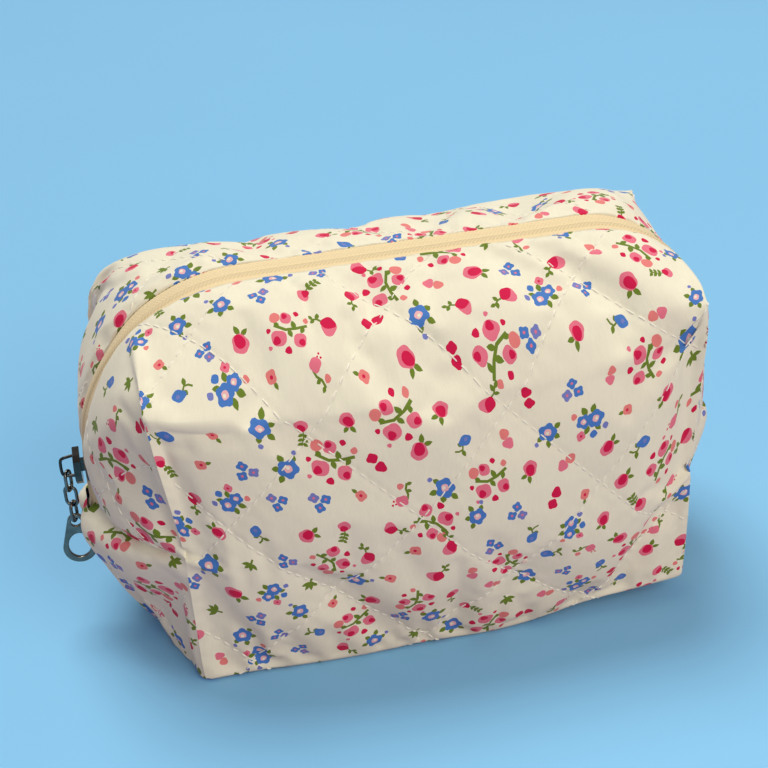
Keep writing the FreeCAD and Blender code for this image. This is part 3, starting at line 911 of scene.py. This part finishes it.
def flat_cloth(seed):
    """Triangles of the flat cloth with every printed outline cut in, and a colour for each."""
    lattice = []
    rows = np.arange(-ROLL_FLAT, MIDDLE_FLAT, CLOTH_STEP * 0.87)
    for row, v in enumerate(rows):
        u = np.arange(-TOP_REACH + (row % 2) * CLOTH_STEP / 2, TOP_REACH, CLOTH_STEP)
        lattice.append(np.stack([u, np.full(len(u), v)], -1))
    lattice = np.concatenate(lattice)
    edge = CLOTH_STEP * 0.45
    around = [(edge, edge), (edge, -edge), (-edge, edge), (-edge, -edge)]
    keep = np.all([inside_cloth(lattice[:, 0] + du, lattice[:, 1] + dv) for du, dv in around], 0)
    points = lattice[keep].tolist()
    edges = []
    for start, end, steps in boundary_runs():
        first = len(points)
        for share in np.linspace(0, 1, steps + 1):
            points.append([a + (b - a) * share for a, b in zip(start, end)])
        edges += [(first + n, first + n + 1) for n in range(steps)]
    outlines, colours = [], []
    for outline, colour in print_outlines(seed):
        outlines.append(list(range(len(points), len(points) + len(outline))))
        colours.append(colour)
        points += outline
    flat, _, faces, _, _, origins = delaunay_2d_cdt([Vector(p) for p in points], edges, outlines, 0,
                                                    1e-5, True)
    flat = np.array([tuple(p) for p in flat])
    faces = np.array(faces)
    shade = np.array([colours[max(origin)] if origin else 0 for origin in origins])
    centre = flat[faces].mean(1)
    kept = inside_cloth(centre[:, 0], centre[:, 1])
    faces, shade = faces[kept], shade[kept]
    used, faces = np.unique(faces, return_inverse=True)
    return flat[used], faces.reshape(-1, 3), shade


def new_object(name, points, faces, material):
    """A smooth mesh object from points in millimetres."""
    mesh = bpy.data.meshes.new(name)
    mesh.from_pydata((points.reshape(-1, 3) * MM).tolist(), [], faces)
    mesh.validate()
    mesh.materials.append(material)
    mesh.shade_smooth()
    return add_object(name, mesh)


def keep_flat(mesh, values):
    """Gives each point three values for its material: its place on the flat cloth, and for the tape a
    painted shade.
    """
    place = mesh.attributes.new("flat", "FLOAT_VECTOR", "POINT")
    place.data.foreach_set("vector", values.ravel())


def make_cover(name, half, seed, material):
    """The printed outer cloth of one half."""
    flat, faces, shade = flat_cloth(seed)
    points, _ = half.surface(flat[:, 0], flat[:, 1])
    if half.side < 0:
        faces = faces[:, ::-1]
    piece = new_object(name, points, faces.tolist(), material)
    colours = np.ones((len(faces), 3, 4))
    colours[:, :, :3] = np.array(PRINT)[shade][:, None]
    attribute = piece.data.color_attributes.new("print", "FLOAT_COLOR", "CORNER")
    attribute.data.foreach_set("color", colours.ravel())
    keep_flat(piece.data, np.column_stack([flat, np.zeros(len(flat))]))
    return piece


def quilting_stitches():
    """Middle and direction of every quilting stitch on the flat cloth."""
    middles, directions = [], []
    t = np.arange(-LINE_REACH, LINE_REACH, STITCH_PITCH)
    for start, way in ((QUILT_FALLING, 1), (QUILT_RISING, -1)):
        for number in range(-LINE_COUNT, LINE_COUNT + 1):
            offset = start + number * QUILT_PERIOD
            middles.append(np.stack([offset / 2 + t * SLANT, -way * offset / 2 + way * t * SLANT], -1))
            directions.append(np.tile([SLANT, way * SLANT], (len(t), 1)))
    middles, directions = np.concatenate(middles), np.concatenate(directions)
    inside = inside_cloth(middles[:, 0], middles[:, 1]) & (middles[:, 1] > 1.5)
    inside &= seam_distance(middles[:, 0], middles[:, 1], SEAMS) > STITCH_LENGTH * 0.6
    inside &= middles[:, 1] < MIDDLE_FLAT - STITCH_LENGTH
    return middles[inside], directions[inside]


def tube_faces(numbers, flip=False):
    """Faces of a tube with closed ends, from the numbers of its points ring by ring."""
    closed = np.concatenate([numbers, numbers[:, :1]], 1)
    start, end = numbers[0].tolist(), numbers[-1].tolist()
    ends = [start, end[::-1]] if flip else [start[::-1], end]
    return grid_faces(closed, flip).tolist() + ends


def make_tube(name, centre, first, second, section, material):
    """A tube with closed ends round a line; section is its outline along two directions."""
    points = (centre[:, None] + first[:, None] * section[0][:, None]
              + second[:, None] * section[1][:, None])
    numbers = np.arange(points.shape[0] * points.shape[1]).reshape(points.shape[:2])
    return new_object(name, points, tube_faces(numbers, True), material)


def ring_angles(sides):
    return 2 * math.pi * np.arange(sides) / sides


def make_stitches(name, half, material):
    """The running stitches of the quilting, as short raised threads."""
    middles, directions = quilting_stitches()
    rings, sides = 7, 6
    share = np.linspace(-0.5, 0.5, rings)
    u = middles[:, None, 0] + directions[:, None, 0] * share * STITCH_LENGTH
    v = middles[:, None, 1] + directions[:, None, 1] * share * STITCH_LENGTH
    place, normal = half.surface(u.ravel(), v.ravel())
    place = place.reshape(len(middles), rings, 3)
    normal = normal.reshape(len(middles), rings, 3)
    tangent = unit(np.gradient(place, axis=1))
    beside = unit(np.cross(tangent, normal))
    arch = THREAD * (0.75 - 1.9 * (2 * share) ** 4)
    thick = THREAD * np.sqrt(np.maximum(1 - (2 * share) ** 6, 0.04))
    centre = place + normal * arch[None, :, None]
    angle = ring_angles(sides)
    points = (centre[:, :, None] + normal[:, :, None] * (np.sin(angle)[:, None] * thick[:, None, None])
              + beside[:, :, None] * (np.cos(angle)[:, None] * 1.1 * thick[:, None, None]))
    stitch = tube_faces(np.arange(rings * sides).reshape(rings, sides))
    faces = []
    for number in range(len(middles)):
        first = number * rings * sides
        faces += [[first + corner for corner in face] for face in stitch]
    return new_object(name, points, faces, material)


def inner_layer(name, half_grids, points, side, depth, thickness, material, tape_row):
    """A closed layer under the cover, depth below the outside, sewn to the tape if it has a tape row."""
    top, wall, base = half_grids
    if not tape_row:
        top = top[:, 1:]
    quads = np.concatenate([grid_faces(top, True), grid_faces(wall, True), grid_faces(base, True)])
    if side > 0:
        quads = quads[:, ::-1]
    used, quads = np.unique(quads, return_inverse=True)
    quads = quads.reshape(-1, 4)
    mesh = bpy.data.meshes.new(name)
    mesh.from_pydata(points[used].tolist(), [], quads.tolist())
    normals = np.zeros(len(used) * 3)
    mesh.vertex_normals.foreach_get("vector", normals)
    inner = points[used] - normals.reshape(-1, 3) * depth
    inner[:, 2] = np.maximum(inner[:, 2], depth)
    quads = quads.tolist()
    if tape_row:
        rows = np.searchsorted(used, top[:, 0])
        s = zip_stations()
        depth_there = LINING_EDGE_DEPTH + end_dip(s) + end_camber(s, LINING_EDGE)
        start = len(inner)
        inner = np.concatenate([inner, along_zip(s, side * LINING_EDGE, depth_there)])
        for n in range(len(s) - 1):
            quad = [start + n, int(rows[n]), int(rows[n + 1]), start + n + 1]
            quads.append(quad if side < 0 else quad[::-1])
    bpy.data.meshes.remove(mesh)
    piece = new_object(name, inner, quads, material)
    thick = piece.modifiers.new("thickness", "SOLIDIFY")
    thick.thickness = thickness * MM
    thick.offset = -1
    return refined(piece)


def refined(piece):
    """Adds one subdivision and applies the modifiers."""
    piece.modifiers.new("finer", "SUBSURF").levels = 1
    graph = bpy.context.evaluated_depsgraph_get()
    graph.update()
    mesh = bpy.data.meshes.new_from_object(piece.evaluated_get(graph))
    piece.modifiers.clear()
    piece.data = mesh
    return piece


# ---------------------------------------------------------------- zip

def along_zip(s, y, depth):
    """Points on the zip at length s, y from its middle line and depth below the outside."""
    place, outward = zip_path(np.asarray(s, float))
    y = np.broadcast_to(y, place.shape[:-1])
    depth = np.broadcast_to(depth, place.shape[:-1])
    x = place[..., 0] - outward[..., 0] * depth
    z = place[..., 1] - outward[..., 1] * depth
    return np.stack([x, y, z], -1)


def tape_base(s, y):
    """Depth of the plain tape; its hidden edge slopes down under the cloth."""
    slope = TAPE_SLOPE * smooth(y, CLOTH_EDGE - 0.4, TAPE_OUTER)
    return TAPE_DEPTH + slope + end_dip(s) + end_camber(s, y)


def tape_depth(s, y, ridge_height):
    """Depth of the top of the knitted tape: a cord-like ridge beside the middle and a flat wing."""
    ridge = np.clip((y - TAPE_INNER) / (RIDGE_OUTER - TAPE_INNER), 0, 1)
    height = ridge_height * np.sin(math.pi * ridge) ** 0.55
    phase = s / KNIT_PITCH
    cords = 0.16 * np.cos(2 * math.pi * (phase + y * KNIT_SLANT)) * (ridge > 0) * (ridge < 1)
    wales = 0.12 * np.cos(2 * math.pi * phase) * np.cos(2 * math.pi * (y - RIDGE_OUTER) / WALE_PITCH)
    knit = np.where(ridge < 1, np.minimum(cords, 0.02), wales)
    groove = 0.16 * bell(y - RIDGE_OUTER - 0.15, 0.22)
    seam = 0.12 * bell(y - 5.0, 0.18)
    return tape_base(s, y) - height - knit + groove + seam


def tape_painted_shade(s, y, side):
    """Painted shade on the knit: 0 (dark) between its stitches and 1 on them, and darker over the front
    ridge.
    """
    phase = s / KNIT_PITCH
    lines = 0.14 * np.cos(2 * math.pi * (y - RIDGE_OUTER) / WALE_PITCH)
    wales = 0.70 + 0.18 * np.cos(2 * math.pi * phase) * np.cos(math.pi * y / WALE_PITCH) + lines
    if side > 0:
        return np.clip(wales, 0, 1)
    cords = 0.30 + 0.30 * np.cos(2 * math.pi * (phase + y * KNIT_SLANT))
    on_ridge = 1 - smooth(y, RIDGE_OUTER - 0.3, RIDGE_OUTER + 0.3)
    return np.clip(wales + (cords - wales) * on_ridge, 0, 1)


def make_tape(name, side, material):
    """One knitted half of the zip tape, from end seam to end seam."""
    left, right = zip_length(-1) + END_HEM, zip_length(1) + END_HEM
    s = np.linspace(-left, right, int((left + right) / (KNIT_PITCH / 4)))
    y = np.concatenate([np.linspace(TAPE_INNER, RIDGE_OUTER, RIDGE_COLS),
                        np.linspace(RIDGE_OUTER + 0.2, TAPE_OUTER, WING_COLS)])
    grid_s, grid_y = np.meshgrid(s, y, indexing="ij")
    ridge_height = FRONT_RIDGE if side < 0 else BACK_RIDGE
    top = along_zip(grid_s, side * grid_y, tape_depth(grid_s, grid_y, ridge_height))
    under = along_zip(grid_s, side * grid_y, tape_base(grid_s, grid_y) + TAPE_THICKNESS)
    points = np.concatenate([top.reshape(-1, 3), under.reshape(-1, 3)])
    numbers = np.arange(top.shape[0] * top.shape[1]).reshape(top.shape[:2])
    below = numbers + numbers.size
    flip = side < 0
    faces = [grid_faces(numbers, flip), grid_faces(below, not flip)]
    rims = ((numbers[:, 0], below[:, 0], flip), (numbers[:, -1], below[:, -1], not flip),
            (numbers[0], below[0], not flip), (numbers[-1], below[-1], flip))
    for upper, lower, turn in rims:
        wall = np.stack([upper[:-1], lower[:-1], lower[1:], upper[1:]], -1)
        faces.append(wall[:, ::-1] if turn else wall)
    piece = new_object(name, points, np.concatenate(faces).tolist(), material)
    # the third value is the painted shade of the knit, darker between stitches and on the front ridge
    flat = np.stack([grid_s, grid_y, tape_painted_shade(grid_s, grid_y, side)], -1).reshape(-1, 3)
    keep_flat(piece.data, np.tile(flat, (2, 1)))
    return piece


def make_coil(name, side, material):
    """One side of the nylon coil under the tape: a flattened spiral of stiff thread."""
    turns = int(2 * COIL_START / COIL_PITCH)
    steps = 10
    t = np.arange(turns * steps + 1) / steps
    angle = 2 * math.pi * t
    s = -COIL_START + COIL_PITCH * t
    y = side * (COIL_MIDDLE + COIL_HALF_WIDTH * np.cos(angle))
    depth = COIL_DEPTH + COIL_HALF_HEIGHT * np.sin(angle) + end_dip(s) + end_camber(s, y)
    centre = along_zip(s, y, depth)
    tangent = unit(np.gradient(centre, axis=0))
    across = unit(np.cross(tangent, [0, 1, 0]))
    ring = ring_angles(6)
    wire = (COIL_WIRE * np.cos(ring), COIL_WIRE * np.sin(ring))
    return make_tube(name, centre, across, np.cross(tangent, across), wire, material)


# ---------------------------------------------------------------- bindings inside

def make_binding(name, line, inward, material, half_width):
    """A folded tape standing on a seam inside the bag, along a line of points."""
    centre = line + inward * (BINDING_GAP + half_width)
    beside = unit(np.cross(unit(np.gradient(centre, axis=0)), inward))
    cos, sin = np.cos(ring_angles(12)), np.sin(ring_angles(12))
    outline = (np.sign(cos) * np.abs(cos) ** 0.5 * half_width,
               np.sign(sin) * np.abs(sin) ** 0.8 * BINDING_THICK)
    return refined(make_tube(name, centre, inward, beside, outline, material))


# ---------------------------------------------------------------- materials

class Shader:
    """A new material with its nodes, and short ways to add, join and mix them."""

    def __init__(self, name, roughness, **fixed):
        self.material = bpy.data.materials.new(name)
        self.material.use_nodes = True
        self.tree = self.material.node_tree
        self.surface = self.tree.nodes["Principled BSDF"]
        self.set(self.surface, Roughness=roughness, **fixed)

    def set(self, node, **values):
        for key, value in values.items():
            node.inputs[key.replace("_", " ")].default_value = value
        return node

    def add(self, kind, **values):
        node = self.tree.nodes.new(kind)
        return self.set(node, **values)

    def join(self, output, target):
        self.tree.links.new(output, target)

    def attribute(self, name):
        node = self.add("ShaderNodeAttribute")
        node.attribute_name = name
        return node

    def place(self):
        return self.add("ShaderNodeTexCoord").outputs["Object"]

    def noise(self, where, scale, detail=3.0, stretch=(1, 1, 1)):
        mapping = self.add("ShaderNodeMapping", Scale=stretch)
        node = self.add("ShaderNodeTexNoise", Scale=scale, Detail=detail)
        self.join(where, mapping.inputs["Vector"])
        self.join(mapping.outputs["Vector"], node.inputs["Vector"])
        return node.outputs["Fac"]

    def bands(self, where, scale, direction, distortion=0.0):
        node = self.add("ShaderNodeTexWave", Scale=scale, Distortion=distortion)
        node.bands_direction = direction
        self.join(where, node.inputs["Vector"])
        return node.outputs["Fac"]

    def math(self, operation, first, second):
        node = self.add("ShaderNodeMath")
        node.operation = operation
        for number, value in enumerate((first, second)):
            if isinstance(value, (int, float)):
                node.inputs[number].default_value = value
            else:
                self.join(value, node.inputs[number])
        return node.outputs["Value"]

    def mix(self, first, share, second):
        """The sum of two values, the first taken share times and the second for the rest."""
        return self.math("ADD", self.math("MULTIPLY", first, share),
                         self.math("MULTIPLY", second, 1 - share))

    def between(self, value, low, high):
        node = self.add("ShaderNodeMapRange", To_Min=low, To_Max=high)
        self.join(value, node.inputs["Value"])
        return node.outputs["Result"]

    def tint(self, colour, shade):
        """The colour, darker or lighter by the value of shade."""
        node = self.add("ShaderNodeMix")
        node.data_type = "RGBA"
        node.blend_type = "MULTIPLY"
        node.inputs["Factor"].default_value = 1.0
        if isinstance(colour, tuple):
            node.inputs["A"].default_value = (*colour, 1)
        else:
            self.join(colour, node.inputs["A"])
        self.join(shade, node.inputs["B"])
        self.join(node.outputs["Result"], self.surface.inputs["Base Color"])

    def bump(self, height, strength, distance):
        node = self.add("ShaderNodeBump", Strength=strength, Distance=distance)
        self.join(height, node.inputs["Height"])
        self.join(node.outputs["Normal"], self.surface.inputs["Normal"])


def cotton(name, colour=None, threads=0.83):
    """Plain-weave cotton, printed if no colour is given, with slubs and a faint sheen."""
    shader = Shader(name, 0.78, Sheen_Weight=0.18, Sheen_Roughness=0.45, Specular_IOR_Level=0.25)
    where = shader.attribute("flat").outputs["Vector"] if colour is None else shader.place()
    scale = 1 if colour is None else 1000
    warp = shader.bands(where, threads * scale, "X", 0.3)
    weft = shader.bands(where, threads * scale, "Y", 0.3)
    weave = shader.math("MULTIPLY", warp, weft)
    slub = shader.noise(where, 1.1 * scale, 4.0, (1, 0.25, 1))
    cloudy = shader.noise(where, 0.09 * scale, 3.0)
    grain = shader.mix(slub, 0.55, cloudy)
    height = shader.math("ADD", shader.math("MULTIPLY", weave, 0.6), slub)
    shader.tint(colour or shader.attribute("print").outputs["Color"], shader.between(grain, 0.90, 1.06))
    shader.bump(height, 0.30, 0.00012)
    return shader.material


def sewing_thread():
    shader = Shader("sewing_thread", 0.45, Sheen_Weight=0.3, Specular_IOR_Level=0.5)
    place = shader.place()
    twist = shader.noise(place, 5200, 2.0, (1, 1, 0.4))
    shader.tint(THREAD_COLOUR, shader.between(twist, 0.92, 1.04))
    shader.bump(twist, 0.5, 0.00006)
    return shader.material


def knitted_tape():
    """Soft yellow zip tape; the cords are modelled and carry painted shade between their stitches, the
    fibres are bump and a faint random tone.
    """
    shader = Shader("zip_tape_knit", 0.62, Sheen_Weight=0.35, Sheen_Roughness=0.35,
                    Specular_IOR_Level=0.3)
    where = shader.attribute("flat").outputs["Vector"]
    split = shader.add("ShaderNodeSeparateXYZ")
    shader.join(where, split.inputs["Vector"])
    fibres = shader.noise(where, 2.4, 4.0, (1, 2.2, 0))
    # painted shade from the knit (darker between stitches and on the front ridge), mixed with a random
    # fibre tone
    shade = shader.mix(fibres, 0.4, split.outputs["Z"])
    shader.tint(TAPE_COLOUR, shader.between(shade, 0.62, 1.10))
    shader.bump(fibres, 0.5, 0.00018)
    return shader.material


def nylon():
    shader = Shader("nylon_coil", 0.34, Specular_IOR_Level=0.55, Coat_Weight=0.15)
    cloudy = shader.noise(shader.place(), 700, 3.0)
    shader.tint(COIL_COLOUR, shader.between(cloudy, 0.92, 1.05))
    shader.bump(cloudy, 0.2, 0.00008)
    return shader.material


def polyester_wadding():
    shader = Shader("wadding_fibre", 0.95, Sheen_Weight=0.4)
    fibre = shader.noise(shader.place(), 900, 6.0, (1, 0.35, 1))
    shader.tint(WADDING_COLOUR, shader.between(fibre, 0.86, 1.04))
    shader.bump(fibre, 0.8, 0.0006)
    return shader.material


def black_nickel(name, colour, roughness):
    """Dark plated zinc: glossy, with a brushed grain and rubbed, brighter patches."""
    shader = Shader(name, roughness, Metallic=1.0, Coat_Weight=0.2, Coat_Roughness=0.12)
    place = shader.place()
    worn = shader.noise(place, 300, 4.0)
    brushed = shader.noise(place, 2600, 2.0, (1, 1, 0.12))
    shader.tint(colour, shader.between(worn, 0.35, 2.0))
    uneven = shader.between(shader.mix(worn, 0.6, brushed), roughness * 0.65, roughness * 1.6)
    shader.join(uneven, shader.surface.inputs["Roughness"])
    shader.bump(brushed, 0.18, 0.00004)
    return shader.material


def paper_backdrop(name, colour):
    shader = Shader(name, 0.9, Specular_IOR_Level=0.1)
    mottled = shader.noise(shader.place(), 2.2, 3.0)
    shader.tint(colour, shader.between(mottled, 0.95, 1.05))
    return shader.material


# ---------------------------------------------------------------- slider arch

def make_arch(material):
    """The bent bar over the slider that the first link hangs from, with rounded bends."""
    low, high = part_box("slider_bridge")
    radius = ARCH_WIRE / 2
    root, out = high[0] / MM, low[0] / MM + radius
    bottom, top = low[2] / MM + radius, high[2] / MM - radius
    path = np.array([(root, bottom), (out, bottom + ARCH_SLANT), (out, top - ARCH_SLANT), (root, top)])
    for share in ARCH_CUTS:
        cut = np.stack([path[:-1] * (1 - share) + path[1:] * share,
                        path[:-1] * share + path[1:] * (1 - share)], 1)
        path = np.concatenate([path[:1], cut.reshape(-1, 2), path[-1:]])
    centre = np.stack([path[:, 0], 0 * path[:, 0], path[:, 1]], -1)
    level = np.tile([0.0, 1.0, 0.0], (len(centre), 1))
    beside = unit(np.cross(unit(np.gradient(centre, axis=0)), level))
    ring = ring_angles(12)
    return make_tube("slider_arch", centre, level, beside, (radius * np.cos(ring), radius * np.sin(ring)),
                     material)


# ---------------------------------------------------------------- the bag

def finish_piece(piece, nodes, body=None):
    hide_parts(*nodes)
    if body:
        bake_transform(piece)
    else:
        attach(piece, "bag")


coarse = [coarse_top(FRONT), coarse_wall(FRONT), coarse_base(), mirrored(coarse_wall(BACK)),
          mirrored(coarse_top(BACK))]
rest_points, (top_n, wall_n, base_n, back_wall_n, back_top_n) = merge(coarse)
points = swell(rest_points, top_n, wall_n, base_n, back_wall_n, back_top_n)

printed = cotton("printed_cotton")
lining_cloth = cotton("lining_cotton", LINING_COLOUR)
binding_cloth = cotton("binding_cotton", BINDING_COLOUR, 1.2)
thread = sewing_thread()
tape_cloth = knitted_tape()
coil_nylon = nylon()
wadding = polyester_wadding()


def make_half(name, side, grids, seed):
    """The cloth and the zip of one half; the lower pieces and zip ends are hidden by the front half."""
    body = "mouth_" + name
    top, wall, base = grids
    half = Half(points, top, wall, base, side)
    half_grids = (top, wall, base[:, :BASE_ROWS + 1])

    def hidden(layer):
        return [layer + "_%s_panel" % name] + ([layer + "_lower"] if side < 0 else [])

    def zip_ends(ending):
        return ["zip_left_end" + ending, "zip_right_end" + ending] if side < 0 else []

    cover = make_cover("cover_" + name, half, seed, printed)
    finish_piece(cover, hidden("cover"), body)
    stitches = make_stitches("quilting_thread_" + name, half, thread)
    finish_piece(stitches, [], body)
    padding = inner_layer("wadding_" + name, half_grids, points, side, WADDING_DEPTH,
                          WADDING_THICKNESS, wadding, False)
    finish_piece(padding, hidden("wadding"), body)
    lining = inner_layer("lining_" + name, half_grids, points, side, LINING_DEPTH,
                         LINING_THICKNESS, lining_cloth, True)
    finish_piece(lining, hidden("lining"), body)
    tape = make_tape("tape_" + name, side, tape_cloth)
    finish_piece(tape, ["zip_tape_" + name] + zip_ends(""), body)
    coil = make_coil("coil_" + name, side, coil_nylon)
    finish_piece(coil, ["zip_coil_" + name] + zip_ends("_coil"), body)


make_half("front", -1, (top_n, wall_n, base_n), 11)
make_half("back", 1, (back_top_n, back_wall_n, base_n[:, ::-1]), 29)

for x_side, x_name, column in ((-1, "left", 0), (1, "right", -1)):
    for y_side, y_name, wall in ((-1, "front", wall_n), (1, "back", back_wall_n)):
        line = points[wall[column, UP_ROWS + 1:-2]]
        inward = unit(np.tile([-x_side, -y_side * 0.8, 0], (len(line), 1)))
        label = "%s_%s" % (x_name, y_name)
        strip = make_binding("corner_tape_" + label, line, inward, binding_cloth, CORNER_BINDING)
        finish_piece(strip, ["corner_binding_" + label])
    line = points[base_n[column, 3:-3]]
    inward = unit(np.tile([-x_side, 0, -0.45], (len(line), 1)))
    strip = make_binding("end_tape_" + x_name, line, inward, binding_cloth, END_BINDING)
    finish_piece(strip, ["end_binding_" + x_name])

slider_metal = black_nickel("slider_nickel", SLIDER_COLOUR, 0.16)
chain_metal = black_nickel("chain_nickel", CHAIN_COLOUR, 0.13)
ring_metal = black_nickel("ring_nickel", RING_COLOUR, 0.16)
arch = make_arch(slider_metal)
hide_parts("slider_bridge")
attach(arch, "slider")
for node, metal in (("slider_body", slider_metal), ("chain_link_1", chain_metal),
                    ("chain_link_2", chain_metal), ("chain_link_3", chain_metal),
                    ("ring_pull", ring_metal)):
    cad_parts[node].material_slots[0].material = metal

# ---------------------------------------------------------------- stage, light and camera

def make_camera():
    data = bpy.data.cameras.new("camera")
    data.lens = CAMERA_LENS
    data.sensor_width = 36
    data.clip_start = 0.01
    look = Vector((math.sin(CAMERA_YAW) * math.cos(CAMERA_PITCH),
                   math.cos(CAMERA_YAW) * math.cos(CAMERA_PITCH), -math.sin(CAMERA_PITCH)))
    level = Vector((math.cos(CAMERA_YAW), -math.sin(CAMERA_YAW), 0))
    above = level.cross(look)
    right = level * math.cos(CAMERA_ROLL) + above * math.sin(CAMERA_ROLL)
    up = above * math.cos(CAMERA_ROLL) - level * math.sin(CAMERA_ROLL)
    turn = Matrix((right, up, -look)).transposed().to_4x4()
    camera = add_object("camera", data)
    camera.matrix_world = Matrix.Translation(CAMERA_PLACE) @ turn
    bpy.context.scene.camera = camera


def make_light(name, kind, place, target, power, colour):
    data = bpy.data.lights.new(name, kind)
    data.energy = power
    data.color = colour
    aim = Vector(target) - Vector(place)
    turn = aim.to_track_quat("-Z", "Y").to_matrix().to_4x4()
    add_object(name, data).matrix_world = Matrix.Translation(place) @ turn
    return data


def make_stage():
    """The floor that the camera sees, and a card just under it that throws the light back."""
    corners = [(-STAGE_HALF, -STAGE_HALF, 0), (STAGE_HALF, -STAGE_HALF, 0), (STAGE_HALF, STAGE_HALF, 0),
               (-STAGE_HALF, STAGE_HALF, 0)]
    mesh = bpy.data.meshes.new("floor")
    mesh.from_pydata(corners, [], [(0, 1, 2, 3)])
    mesh.materials.append(paper_backdrop("pale_backdrop", FLOOR_COLOUR))
    floor = add_object("floor", mesh)
    floor.visible_diffuse = False
    floor.visible_shadow = False
    card = add_object("bounce_card", mesh.copy())
    card.data.materials[0] = paper_backdrop("bounce_card", CARD_COLOUR)
    card.location.z = -CARD_DROP
    world = bpy.data.worlds.new("room")
    world.use_nodes = True
    background = world.node_tree.nodes["Background"]
    background.inputs["Color"].default_value = ROOM_COLOUR
    background.inputs["Strength"].default_value = ROOM_STRENGTH
    bpy.context.scene.world = world
    bpy.context.scene.view_settings.view_transform = "Standard"


make_stage()
sun = make_light("key", "SUN", SUN_PLACE, (0, 0, 0), SUN_STRENGTH, SUN_COLOUR)
sun.angle = SUN_ANGLE
fill = make_light("fill", "AREA", FILL_PLACE, (0, 0, 0.06), FILL_POWER, FILL_COLOUR)
fill.shape = "RECTANGLE"
fill.size, fill.size_y = FILL_SIZE
make_camera()
